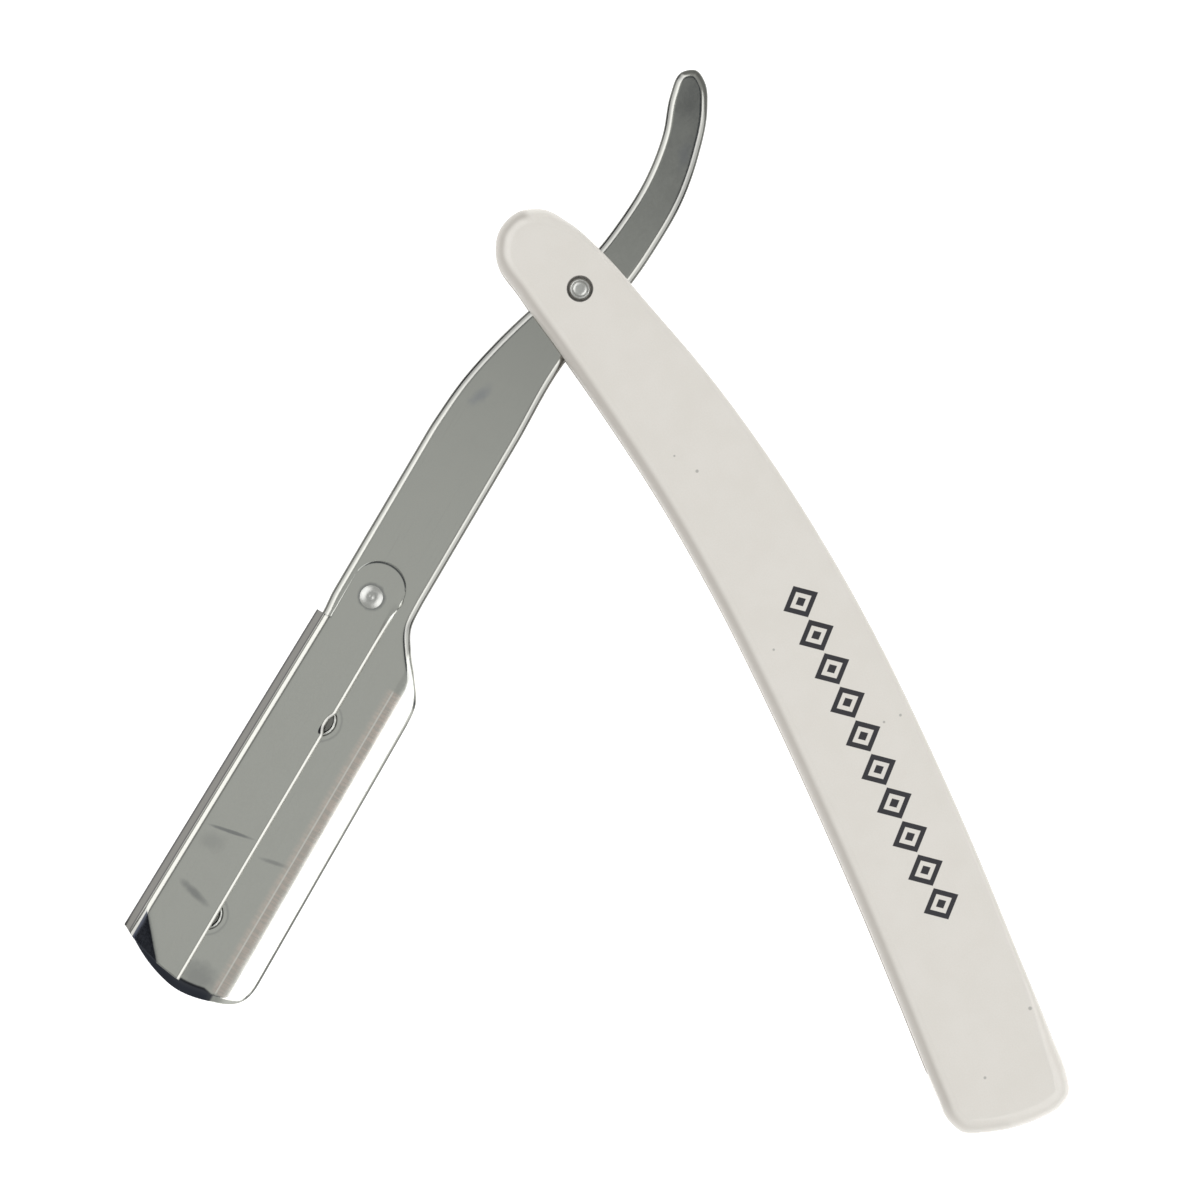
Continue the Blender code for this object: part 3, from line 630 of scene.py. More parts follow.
def make_swing_clamp(material):
    """The clamp is one sheet: its section is carried along the bed, and a tongue with a round end
    carries each leaf on to the rivet.  Solidify gives the sheet its thickness."""
    start_y = clamp_section(np.array([WRAP_START]))[0]
    share = np.linspace(0.0, 1.0, WRAP_STATIONS + 1)[:, None]
    x = WRAP_START + (leaf_end(start_y) - WRAP_START) * share
    sections = [clamp_section(x[:, column]) for column in range(x.shape[1])]
    y = np.stack([section[0][:, column] for column, section in enumerate(sections)], axis=1)
    z = np.stack([section[1][:, column] for column, section in enumerate(sections)], axis=1)
    middle = (LEAF_TOP + BACK_LEAF_LOW) / 2.0
    z = z - corner_drop(x, y) * np.clip((z - middle) / (LEAF_TOP - middle), 0.0, 1.0)
    wrap = np.stack([x, y, z], axis=-1)

    back_angle = math.pi - math.asin((CLAMP_BACK_EDGE - CLAMP_TOP[1]) / CLAMP_TOP_RADIUS)
    back_start = -(3 * FOLD_STEPS + LEAF_ACROSS)
    under = wrap[0, back_start:]
    tongues = (
        tongue(wrap[0, LEAF_ACROSS::-1], LEAF_TOP, (0.0, 0.5), math.pi / 2.0, [(48.0, -6.21)]),
        tongue(under, BACK_LEAF_LOW, (0.0, 0.5), back_angle, [(47.4, -7.3)]),
    )

    points, faces = [], []
    for grid, turned_over in ((wrap, False), (tongues[0], True), (tongues[1], False)):
        add_grid(points, faces, grid, turned_over)
    sheet = in_arm(np.concatenate(points))
    clamp = new_object("folded_swing_clamp", sheet, np.concatenate(faces).tolist(), closed=False)
    solid = clamp.modifiers.new("sheet thickness", "SOLIDIFY")
    solid.thickness = CLAMP_SHEET * MM
    solid.offset = -1.0
    bevel(clamp, 0.1, 2, angle=60.0)
    bake_modifiers(clamp)
    return finish(clamp, "clamp", "swing_clamp", material)


# ---------------------------------------------------------------- turned pieces

def turned(name, profile, centre, body, node, material, steps=72):
    """A profile of (radius, level) turned about an upright axis.  A profile that starts and ends on
    the axis closes at its poles, and any other profile is closed into a ring."""
    profile = np.array(profile, dtype=float)
    if profile[0, 0] > 0.0:
        profile = np.concatenate([profile, profile[:1]])
    turn = np.arange(steps) * TAU / steps
    x = profile[:, :1] * np.cos(turn) + centre[0]
    y = profile[:, :1] * np.sin(turn) + centre[1]
    z = np.broadcast_to(profile[:, 1:], x.shape)
    points = np.stack([x, y, z], axis=-1).reshape(-1, 3)
    faces = quads(np.arange(len(points)).reshape(x.shape), around=True)
    obj = new_object(name, points, faces.tolist())
    return finish(obj, body, node, material)


def dome(radius, low, high, rim, steps=10):
    """Profile of a flat dome, middle to rim: the height falls with the radius to the power 5."""
    share = np.linspace(0.0, 1.0, steps)
    return [(radius * s, high - (high - low - rim) * s**5) for s in share]


def rounded_corner(corner, before, after, radius, steps=4):
    """Quarter round between two straight edges, which leave the corner towards before and after."""
    turn = np.linspace(0.0, math.pi / 2.0, steps + 1)
    corner, before, after = (np.array(v, dtype=float) for v in (corner, before, after))
    middle = corner + radius * (before + after)
    return [tuple(middle - radius * (after * math.cos(t) + before * math.sin(t))) for t in turn]


def ring_section(inner, outer, low, high, ease):
    """Section of a flat ring with eased outer corners, from its upper inner corner down the outside."""
    return [
        (inner, high),
        *rounded_corner((outer, high), (-1.0, 0.0), (0.0, -1.0), ease),
        *rounded_corner((outer, low), (0.0, 1.0), (-1.0, 0.0), ease),
        (inner, low),
    ]


def make_pivot(material):
    """The pin with its two low heads, a domed collar in each seat, and the two washers in the slot."""
    head_low = PIN_TOP - PIN_HEAD_HEIGHT
    upper = [*dome(PIN_HEAD_RADIUS, head_low, PIN_TOP, 0.1), (PIN_HEAD_RADIUS, head_low)]
    upper.append((PIN_RADIUS, head_low))
    lower = [(radius, HANDLE_THICKNESS - level) for radius, level in reversed(upper)]
    turned("turned_pivot_pin", [*upper, *lower], PIVOT, "handle", "pivot_pin", material)
    inner = PIN_RADIUS + PIN_GAP
    rim = 0.16
    share = np.linspace(0.0, 1.0, 8)
    crown_radius = PIN_HEAD_RADIUS + (COLLAR_RADIUS - PIN_HEAD_RADIUS) * share
    crown_level = COLLAR_TOP - (COLLAR_TOP - COLLAR_LOW - rim) * share**3
    crown = list(zip(crown_radius, crown_level))
    front = [(inner, COLLAR_TOP), *crown, (COLLAR_RADIUS, COLLAR_LOW), (inner, COLLAR_LOW)]
    rear = [(radius, HANDLE_THICKNESS - level) for radius, level in front]
    for side, profile in (("front", front), ("rear", rear)):
        collar, washer = f"pivot_collar_{side}", f"spacer_washer_{side}"
        turned(f"domed_collar_{side}", profile, PIVOT, "handle", collar, material)
        low, high = node_span(washer, 2)
        section = ring_section(PIN_RADIUS + BORE_GAP, WASHER_RADIUS, low, high, 0.12)
        turned(f"flat_washer_{side}", section, PIVOT, "handle", washer, material)


def make_studs(material):
    """Cup-shaped blade studs: a rolled lip on top, a straight wall, and a flange behind the bed."""
    flange_top = STUD_LOW + STUD_FLANGE_THICKNESS
    for name, x in zip(("upper", "lower"), STUD_X):
        lip = STUD_RADIUS - STUD_BORE
        turn = np.linspace(math.pi, 0.0, 11)
        rolled = [
            (STUD_BORE + lip / 2.0 * (1.0 + math.cos(t)), STUD_TOP - 0.3 + 0.3 * math.sin(t))
            for t in turn
        ]
        profile = [
            (0.0, STUD_LOW + 0.3),
            (STUD_BORE, STUD_LOW + 0.3),
            *rolled,
            (STUD_RADIUS, flange_top), (STUD_FLANGE, flange_top), (STUD_FLANGE, STUD_LOW),
            (0.0, STUD_LOW),
        ]
        centre = in_arm([(x, STUD_Y, 0.0)])[0]
        turned(f"rolled_stud_{name}", profile, centre, "arm", f"blade_stud_{name}", material)


def make_clamp_rivet(material):
    """Domed rivet with a dimple on its crown, and a peened tail behind the back leaf."""
    centre = in_arm([(*CLAMP_RIVET, 0.0)])[0]
    head_low = RIVET_TOP - RIVET_HEAD_HEIGHT
    tail_top = RIVET_LOW + RIVET_HEAD_HEIGHT
    share = np.linspace(0.0, 1.0, 16)
    crown = RIVET_TOP - 0.32 * share**2.6
    crown -= 0.1 * np.exp(-((share * RIVET_HEAD / 0.34) ** 2))
    profile = [
        *zip(share * RIVET_HEAD, crown),
        (RIVET_HEAD, head_low),
        (RIVET_RADIUS, head_low),
        (RIVET_RADIUS, tail_top),
        *rounded_corner((RIVET_HEAD, tail_top), (-1.0, 0.0), (0.0, -1.0), 0.05),
        *rounded_corner((RIVET_HEAD, RIVET_LOW), (0.0, 1.0), (-1.0, 0.0), 0.25),
        (0.0, RIVET_LOW),
    ]
    turned("domed_clamp_rivet", profile, centre, "arm", "clamp_rivet", material)
    low, high = node_span("clamp_spacer_bush", 2)
    section = ring_section(RIVET_RADIUS + PIN_GAP, BUSH_RADIUS, low, high, 0.1)
    turned("clamp_bush", section, centre, "arm", "clamp_spacer_bush", material)


# ---------------------------------------------------------------- finishes

STEEL = (0.56, 0.565, 0.535, 1.0)
# Near-black: print on the handle's front face, and painted shade in the studs' bores, in the notch at the
# upper stud and along the spine fold.
INK_AND_SHADE = (0.012, 0.012, 0.02, 1.0)
# Dark navy painted reflection on the bend at the blade end and on the clamp's leaning corner.
NAVY_SHADE = (0.03, 0.035, 0.055, 1.0)
# Grey: film and streaks on the steel, and painted shade at the tail's tip, round the clamp rivet and in a
# ring over each stud's flange.
GREY_FILM_AND_SHADE = (0.27, 0.275, 0.28, 1.0)
BLUE_FILM = (0.33, 0.35, 0.41, 1.0)
# Painted shade on the tray's outer flange, along the guard's edge, in the gap round each stud and at the
# spine fold's start.
EDGE_SHADE = (0.2, 0.2, 0.19, 1.0)
# Painted shade on the clamp below its front leaf's top: the spine fold's side.
FOLD_SIDE_SHADE = (0.17, 0.165, 0.155, 1.0)
# Grey painted shade that dims the highlights on the tray's bend, the leaf's rolled edge and the spine
# fold's shoulder.
HIGHLIGHT_SHADE = (0.45, 0.445, 0.42, 1.0)
# Pinkish tint laid in streaks across the guard strip.
GUARD_TINT = (0.8, 0.68, 0.62, 1.0)
# Painted highlight: a white reflection on the guard's outer part and a bright line along the guard's bend.
HIGHLIGHT_WHITE = (0.92, 0.92, 0.88, 1.0)
PIN_GREY = (0.62, 0.62, 0.6, 1.0)
PLASTIC = ((0.80, 0.762, 0.715, 1.0), (0.825, 0.788, 0.745, 1.0))
SIDE_SHADE = (0.5, 0.465, 0.43, 1.0)
SPECK = (0.3, 0.29, 0.28, 1.0)
SEAT_SHADE = (0.16, 0.155, 0.15, 1.0)
# Radius of the painted shade in the seat round the pivot.
SEAT_SHADE_RADIUS = 1.72
ROW_START = (45.0, 6.1)
ROW_LENGTH = 46.0
LOZENGE_COUNT = 10.0
MARK_LEVEL = 5.0
UNLIMITED = 1000.0


def feed(tree, node, inputs):
    """Gives each input of a node a value, or the socket that feeds it."""
    for key, value in inputs.items():
        if isinstance(value, bpy.types.NodeSocket):
            tree.links.new(value, node.inputs[key])
        else:
            node.inputs[key].default_value = value


def add_node(tree, kind, inputs, **settings):
    """A shader node with its settings and its inputs."""
    node = tree.nodes.new(kind)
    for key, value in settings.items():
        setattr(node, key, value)
    feed(tree, node, inputs)
    return node


def maths(tree, operation, first, second=0.0, third=0.0):
    """One operation on up to three numbers, each a value or a socket."""
    node = add_node(tree, "ShaderNodeMath", {0: first, 1: second, 2: third}, operation=operation)
    return node.outputs[0]


def times(tree, first, second):
    return maths(tree, "MULTIPLY", first, second)


def vector(tree, operation, first, second=(0.0, 0.0, 0.0)):
    """A vector sum; a dot product or a length gives a number, and the others give a vector."""
    node = add_node(tree, "ShaderNodeVectorMath", {0: first, 1: second}, operation=operation)
    return node.outputs["Value" if operation in ("DOT_PRODUCT", "LENGTH") else "Vector"]


def ramp_between(tree, value, low, high, out_low=0.0, out_high=1.0):
    """A smooth step from out_low at low to out_high at high."""
    inputs = {"Value": value, "From Min": low, "From Max": high, "To Min": out_low, "To Max": out_high}
    return add_node(tree, "ShaderNodeMapRange", inputs, interpolation_type="SMOOTHSTEP").outputs["Result"]


def mixed(tree, share, first, second):
    """One colour laid over another by a share."""
    inputs = {"Factor": share, 6: first, 7: second}
    return add_node(tree, "ShaderNodeMix", inputs, data_type="RGBA").outputs[2]


def separated(tree, where):
    """The x, y and z of a vector."""
    return add_node(tree, "ShaderNodeSeparateXYZ", {0: where}).outputs[:3]


def new_group(name, inputs, output):
    """An empty shader group with one output.  Each input is a number or a vector, as its default is;
    a vector may have none.  Gives the group, its inputs and the socket of its result."""
    group = bpy.data.node_groups.new(name, "ShaderNodeTree")
    for label, value in inputs.items():
        kind = "NodeSocketFloat" if isinstance(value, float) else "NodeSocketVector"
        socket = group.interface.new_socket(label, in_out="INPUT", socket_type=kind)
        if value is not None:
            socket.default_value = value
    kind = "NodeSocketVector" if output == "Vector" else "NodeSocketFloat"
    group.interface.new_socket(output, in_out="OUTPUT", socket_type=kind)
    given = group.nodes.new("NodeGroupInput").outputs
    return group, given, group.nodes.new("NodeGroupOutput").inputs[output]


def noise(tree, where, scale, detail, roughness=0.5):
    """Plain noise round one half."""
    inputs = {"Vector": where, "Scale": scale, "Detail": detail, "Roughness": roughness}
    return add_node(tree, "ShaderNodeTexNoise", inputs).outputs["Fac"]


def grain_group():
    """Fine unevenness: two noises of different size, mixed and centred on one half."""
    inputs = {"Vector": None, "Scale": 1.0, "Coarse": 0.2}
    group, (where, scale, coarseness, *_), result = new_group("fine_grain", inputs, "Value")
    fine = noise(group, where, scale, 3.0)
    coarse = noise(group, where, times(group, scale, coarseness), 2.0)
    total = maths(group, "ADD", fine, coarse)
    group.links.new(times(group, total, 0.5), result)
    return group


def hairline_group():
    """Fine lines along the pattern's X: a noise drawn out along X and cut off to thin lines."""
    inputs = {"Vector": None, "Across": 6.0, "Along": 0.15, "Cut": 0.62}
    group, (where, across, along, cut, *_), result = new_group("hairlines", inputs, "Mask")
    scale = add_node(group, "ShaderNodeCombineXYZ", {0: along, 1: across, 2: 1.0}).outputs[0]
    lines = noise(group, vector(group, "MULTIPLY", where, scale), 1.0, 4.0, 0.65)
    high = maths(group, "ADD", cut, 0.08)
    group.links.new(ramp_between(group, lines, cut, high), result)
    return group


def patch_group():
    """A soft patch: one minus the distance from its centre, measured in its own half sizes and
    wobbled by a noise, faded over its softness."""
    inputs = {"Vector": None, "Centre": None, "Half Size": (1.0, 1.0, UNLIMITED)}
    inputs.update({"Softness": 0.5, "Wobble": 0.2, "Turn": 0.0})
    group, given, result = new_group("soft_patch", inputs, "Mask")
    where, centre, half, softness, wobble, turn = given[:6]
    away = {"Vector": vector(group, "SUBTRACT", where, centre), "Angle": turn}
    turned_back = add_node(group, "ShaderNodeVectorRotate", away, rotation_type="Z_AXIS").outputs[0]
    distance = vector(group, "LENGTH", vector(group, "DIVIDE", turned_back, half))
    uneven = times(group, maths(group, "SUBTRACT", noise(group, where, 0.7, 3.0), 0.5), wobble)
    reach = maths(group, "ADD", distance, uneven)
    inner = maths(group, "SUBTRACT", 1.0, softness)
    group.links.new(ramp_between(group, reach, inner, 1.0, 1.0, 0.0), result)
    return group


def place_group(name, turn):
    """Object coordinates in millimetres from the pivot, turned so that X runs along the piece."""
    group, _, result = new_group(name, {}, "Vector")
    cos, sin = math.cos(-turn), math.sin(-turn)
    inputs = {
        "Vector": add_node(group, "ShaderNodeTexCoord", {}).outputs["Object"],
        "Location": (-(cos * PIVOT[0] - sin * PIVOT[1]), -(sin * PIVOT[0] + cos * PIVOT[1]), 0.0),
        "Rotation": (0.0, 0.0, -turn),
        "Scale": (1.0 / MM,) * 3,
    }
    group.links.new(add_node(group, "ShaderNodeMapping", inputs).outputs[0], result)
    return group


GRAIN = grain_group()
HAIRLINES = hairline_group()
PATCH = patch_group()
ARM_PLACE = place_group("arm_place", ARM_TURN)
HANDLE_PLACE = place_group("handle_place", 0.0)


def use(tree, group, **inputs):
    """Places a group with inputs of its own, and gives its result."""
    named = {key.replace("_", " "): value for key, value in inputs.items()}
    return add_node(tree, "ShaderNodeGroup", named, node_tree=group).outputs[0]


def new_material(name):
    material = bpy.data.materials.new(name)
    material.use_nodes = True
    return material, material.node_tree, material.node_tree.nodes["Principled BSDF"]


def finished(tree, shader, base, rough, height, strength, depth, **others):
    """Gives a shader its colour and roughness, and a bump of a depth in millimetres."""
    inputs = {"Height": height, "Strength": strength, "Distance": depth * MM}
    normal = add_node(tree, "ShaderNodeBump", inputs).outputs["Normal"]
    feed(tree, shader, {"Base Color": base, "Roughness": rough, "Normal": normal, **others})


def lozenge_group():
    """A row of hollow lozenges with a dot in each, along X from the start for a number of pitches.
    In a cell, the distance is the sum of the shares along and across; the row slopes slightly."""
    inputs = {"Vector": None, "Start": None, "Slope": 0.0, "Pitch": 5.0, "Count": 9.0}
    inputs.update({"Half Along": 1.9, "Half Across": 2.3})
    group, given, result = new_group("lozenge_row", inputs, "Mask")
    where, start, slope, pitch, count, half_along, half_across = given[:7]
    x, y, z = separated(group, vector(group, "SUBTRACT", where, start))
    cells = maths(group, "DIVIDE", x, pitch)
    in_cell = maths(group, "SUBTRACT", maths(group, "FRACT", cells), 0.5)
    along = maths(group, "ABSOLUTE", times(group, in_cell, pitch))
    across = maths(group, "ABSOLUTE", maths(group, "SUBTRACT", y, times(group, x, slope)))
    along_share = maths(group, "DIVIDE", along, half_along)
    reach = maths(group, "ADD", along_share, maths(group, "DIVIDE", across, half_across))
    outer = ramp_between(group, reach, 0.98, 1.02, 1.0, 0.0)
    hollow = ramp_between(group, reach, 0.6, 0.64)
    dot = ramp_between(group, reach, 0.28, 0.32, 1.0, 0.0)
    shape = maths(group, "MAXIMUM", times(group, outer, hollow), dot)
    started = maths(group, "GREATER_THAN", cells, 0.0)
    on_row = times(group, started, maths(group, "LESS_THAN", cells, count))
    on_face = maths(group, "GREATER_THAN", z, 0.0)
    group.links.new(times(group, times(group, shape, on_row), on_face), result)
    return group


LOZENGES = lozenge_group()

# Each mark: centre, half sizes, softness, wobble, turn in degrees, colour, strength.
ARM_MARKS = (
    ((17.6, -4.1), (2.6, 1.1), 0.9, 0.9, 20.0, BLUE_FILM, 0.45),
    ((-21.4, 2.6), (2.8, 1.2), 0.9, 0.9, -15.0, BLUE_FILM, 0.35),
    # Painted shade: the tail's tip darker.
    ((-28.0, 0.0), (4.5, 2.6), 0.9, 0.3, 0.0, GREY_FILM_AND_SHADE, 0.3),
    ((81.2, 3.3), (0.4, 2.5), 0.8, 0.5, -12.0, GREY_FILM_AND_SHADE, 0.55),
    ((98.2, 2.4), (2.6, 3.4), 0.8, 0.8, 0.0, GREY_FILM_AND_SHADE, 0.5),
)
LEAF_MARKS = (
    ((80.5, -3.2), (0.32, 3.6), 0.6, 0.4, -11.6, GREY_FILM_AND_SHADE, 0.85),
    ((82.8, -4.6), (1.6, 2.6), 0.9, 0.8, -11.6, GREY_FILM_AND_SHADE, 0.25),
    ((89.4, -3.4), (0.75, 3.2), 0.8, 0.7, 14.0, GREY_FILM_AND_SHADE, 0.7),
    # Painted shade round the clamp rivet's head.
    ((46.3, -3.0), (1.95, 1.95), 0.22, 0.3, 0.0, GREY_FILM_AND_SHADE, 0.75),
    # Painted shade: black in the notch at the upper stud.
    ((STUD_X[0], 0.3), (1.7, 0.55), 0.12, 0.1, 12.0, INK_AND_SHADE, 0.97),
)


def stud_marks():
    """Painted shade: black in each stud's bore, a dark ring in the gap round each stud, and a faint grey
    ring on the bed over each stud's flange, standing for the ring it presses in.
    """
    marks = []
    for x in STUD_X:
        for radius, softness, wobble, colour, strength in (
            (2.95, 0.12, 0.1, GREY_FILM_AND_SHADE, 0.4), (2.7, 0.12, 0.1, STEEL, 1.0),
            (2.15, 0.05, 0.0, EDGE_SHADE, 0.9), (1.98, 0.05, 0.0, STEEL, 1.0),
            (STUD_BORE + 0.03, 0.05, 0.0, INK_AND_SHADE, 0.97),
        ):
            marks.append(((x, STUD_Y), (radius, radius), softness, wobble, 0.0, colour, strength))
    return tuple(marks)


def band(tree, value, low, high, soft):
    """A mask that is one from low to high and fades out over a width on either side."""
    rising = ramp_between(tree, value, low - soft, low)
    falling = ramp_between(tree, value, high, high + soft, 1.0, 0.0)
    return times(tree, rising, falling)


def laid_over(tree, base, mask, strength, colour):
    """A colour over the base, by the mask times the strength."""
    return mixed(tree, times(tree, mask, strength), base, colour)


def edge_line(tree, x, y, start, end):
    """Distance in y from a long edge, straight from one level at the shoulder to one at the end."""
    slope = (end - start) / (ARM_REACH - SHANK_LENGTH)
    level = maths(tree, "MULTIPLY_ADD", x, slope, start - slope * SHANK_LENGTH)
    return maths(tree, "SUBTRACT", y, level)


def arm_details(tree, where, base):
    """Painted shade on the tray's bend and outer flange, a painted dark reflection on the blade end's bend,
    a pinkish streaked tint on the guard strip, and on the guard a painted white reflection, painted shade
    at its edge and a painted highlight along its bend.
    """
    x, y, z = separated(tree, where)
    by_guard = times(tree, ramp_between(tree, y, 4.4, 4.9), ramp_between(tree, x, 47.0, 49.0))
    off_guard = maths(tree, "SUBTRACT", 1.0, by_guard)
    # Painted shade: the bend's highlight dimmed, and the outer flange darker.
    bend = ramp_between(tree, z, PANEL_TOP, PANEL_TOP - 0.02)
    edge = ramp_between(tree, z, PANEL_TOP - 0.02, PANEL_TOP - 0.15)
    # Painted dark reflection on the bend at the blade end.
    at_end = ramp_between(tree, x, ARM_REACH - 4.0, ARM_REACH - 3.0)
    end_bend = times(tree, at_end, ramp_between(tree, y, 5.0, 5.4, 1.0, 0.0))
    on_guard = band(tree, x, SHANK_LENGTH + 5.5, ARM_REACH - 2.4, 0.6)
    streaks = use(tree, HAIRLINES, Vector=where, Across=0.35, Along=3.5, Cut=0.47)
    guard_tint = band(tree, y, GUARD_BEND + 0.1, 6.2, 1.2)
    guard_tint = times(tree, guard_tint, maths(tree, "MULTIPLY_ADD", streaks, 0.5, 0.5))
    # Painted reflection: the guard's outer part white.
    white = times(tree, ramp_between(tree, y, 6.0, 7.2), ramp_between(tree, x, 50.0, 52.0))
    # Painted shade along the guard's edge.
    near_edge = edge_line(tree, x, y, GUARD_EDGE_START, GUARD_EDGE_END)
    rim = times(tree, ramp_between(tree, near_edge, -0.3, -0.16), ramp_between(tree, x, 55.0, 58.0))
    # Painted highlight along the guard's bend.
    line = band(tree, y, GUARD_BEND - 0.06, GUARD_BEND + 0.06, 0.08)
    for mask, strength, colour in (
        (times(tree, bend, off_guard), 0.8, HIGHLIGHT_SHADE),
        (times(tree, edge, off_guard), 0.85, EDGE_SHADE),
        (times(tree, bend, end_bend), 0.9, NAVY_SHADE),
        (times(tree, guard_tint, on_guard), 0.75, GUARD_TINT),
        (white, 0.9, HIGHLIGHT_WHITE),
        (rim, 0.85, EDGE_SHADE),
        (times(tree, line, on_guard), 0.7, HIGHLIGHT_WHITE),
    ):
        base = laid_over(tree, base, mask, strength, colour)
    return base


def clamp_details(tree, where, base):
    """Painted shade on the spine fold's side and on the leaf's rolled edge, painted dark lines along the
    fold, one at its start, and a painted dark reflection on the leaning corner.
    """
    x, y, z = separated(tree, where)
    # Painted shade: the clamp darker below its front leaf's top, on the spine fold's side.
    side = ramp_between(tree, z, LEAF_TOP - 0.25, LEAF_TOP - 0.37)
    base = laid_over(tree, base, side, 1.0, FOLD_SIDE_SHADE)
    # Painted shade dims the highlight on the leaf's rolled edge.
    on_edge = times(tree, ramp_between(tree, y, -1.2, -0.9), ramp_between(tree, x, 47.5, 48.5))
    rolled = times(tree, ramp_between(tree, z, LEAF_TOP, LEAF_TOP - 0.01), on_edge)
    base = laid_over(tree, base, rolled, 0.9, HIGHLIGHT_SHADE)
    inwards = edge_line(tree, x, y, BED_SPINE_START - WRAP_OUT, BED_SPINE_END - WRAP_OUT)
    on_leaf = ramp_between(tree, x, WRAP_START - 0.1, WRAP_START + 0.1)
    # Painted shade in strips along the spine fold, by distance in from its outer line: dimmed highlight
    # over its shoulder, dark on its outer face and in a line down its side, and a dark line at its start.
    for low, high, soft, strength, colour in (
        (1.1, 1.8, 0.05, 0.9, HIGHLIGHT_SHADE), (-0.5, 0.12, 0.15, 0.6, INK_AND_SHADE),
        (0.95, 1.05, 0.08, 0.5, INK_AND_SHADE), (1.84, 1.95, 0.05, 0.6, EDGE_SHADE),
    ):
        strip = times(tree, band(tree, inwards, low, high, soft), on_leaf)
        base = laid_over(tree, base, strip, strength, colour)
    # Painted dark reflection on the corner that leans beyond the crease.
    start, line = crease()
    beyond = vector(tree, "DOT_PRODUCT", where, (line[1], -line[0], 0.0))
    at_crease = start[0] * line[1] - start[1] * line[0]
    leaning = ramp_between(tree, beyond, at_crease, at_crease + 0.15)
    inside_fold = ramp_between(tree, y, BED_SPINE_END + 0.85, BED_SPINE_END + 1.0)
    return laid_over(tree, base, times(tree, leaning, inside_fold), 0.92, NAVY_SHADE)


def steel_material(name, place, colour=STEEL, roughness=0.13, marks=(), details=None):
    """Polished sheet steel: uneven polish, faint lines along the sheet, and soft marks from a table:
    smudges, streaks and painted shade.
    """
    material, tree, shader = new_material(name)
    where = use(tree, place)
    grain = use(tree, GRAIN, Vector=where, Scale=3.0, Coarse=0.12)
    lines = use(tree, HAIRLINES, Vector=where, Across=5.0, Along=0.12, Cut=0.6)
    dark = tuple(0.94 * part for part in colour[:3]) + (1.0,)
    base = mixed(tree, ramp_between(tree, grain, 0.36, 0.64), dark, colour)
    for centre, half, softness, wobble, turn, tint, strength in marks:
        mask = use(
            tree, PATCH, Vector=where, Centre=(*centre, MARK_LEVEL), Half_Size=(*half, UNLIMITED),
            Softness=softness, Wobble=wobble, Turn=math.radians(turn),
        )
        base = laid_over(tree, base, mask, strength, tint)
    if details:
        base = details(tree, where, base)
    uneven = ramp_between(tree, grain, 0.35, 0.65, roughness - 0.02, roughness + 0.03)
    rough = maths(tree, "ADD", uneven, times(tree, lines, 0.03))
    height = maths(tree, "ADD", times(tree, grain, 0.6), times(tree, lines, -0.4))
    finished(tree, shader, base, rough, height, 0.05, 0.01, Metallic=1.0)
    return material


SPECKS = (
    (26.9, 2.2, 0.26), (23.9, 0.6, 0.2), (65.6, 10.3, 0.24), (65.4, 8.1, 0.2),
    (51.0, 0.2, 0.22), (110.4, -1.6, 0.26), (105.4, 7.4, 0.3),
)


def plastic_material():
    """Off-white moulded plastic: faint mottle, fine grain under the gloss, a few dark specks, a printed
    row of lozenges on the front face, painted shade on the concave side's rounded edge, and painted shade
    in the seat round the pivot."""
    material, tree, shader = new_material("white_plastic")
    where = use(tree, HANDLE_PLACE)
    grain = use(tree, GRAIN, Vector=where, Scale=5.0, Coarse=0.05)
    mottle = ramp_between(tree, grain, 0.35, 0.65)
    base = mixed(tree, mottle, *PLASTIC)
    x, y, z = separated(tree, where)
    # Painted shade: the rounded edge on the concave side darker, less so towards the far end.
    low_side = ramp_between(tree, y, -1.0, -2.0)
    on_side = ramp_between(tree, z, HANDLE_THICKNESS - 0.1, HANDLE_THICKNESS - 0.5)
    before_end = ramp_between(tree, x, HANDLE_REACH - 8.0, HANDLE_REACH - 3.0, 1.0, 0.25)
    shade = times(tree, times(tree, low_side, on_side), before_end)
    base = laid_over(tree, base, shade, 0.75, SIDE_SHADE)
    for speck_x, speck_y, size in SPECKS:
        mask = use(
            tree, PATCH, Vector=where, Centre=(speck_x, speck_y, HANDLE_THICKNESS),
            Half_Size=(size, size, 1.0), Softness=0.6, Wobble=0.6,
        )
        base = laid_over(tree, base, mask, 0.6, SPECK)
    # Painted shade in the seat gap round the pivot.
    half = (SEAT_SHADE_RADIUS, SEAT_SHADE_RADIUS, UNLIMITED)
    seat = use(tree, PATCH, Vector=where, Centre=(0.0, 0.0, 0.0), Half_Size=half, Softness=0.08, Wobble=0.1)
    base = laid_over(tree, base, seat, 0.75, SEAT_SHADE)
    row = use(
        tree, LOZENGES, Vector=where, Start=(*ROW_START, HANDLE_THICKNESS - 0.3), Slope=-0.054,
        Pitch=ROW_LENGTH / LOZENGE_COUNT, Count=LOZENGE_COUNT, Half_Along=2.15, Half_Across=2.45,
    )
    base = laid_over(tree, base, row, 0.97, INK_AND_SHADE)
    rough = ramp_between(tree, grain, 0.3, 0.7, 0.14, 0.2)
    finished(tree, shader, base, rough, grain, 0.06, 0.02, IOR=1.49)
    return material


# ---------------------------------------------------------------- studio

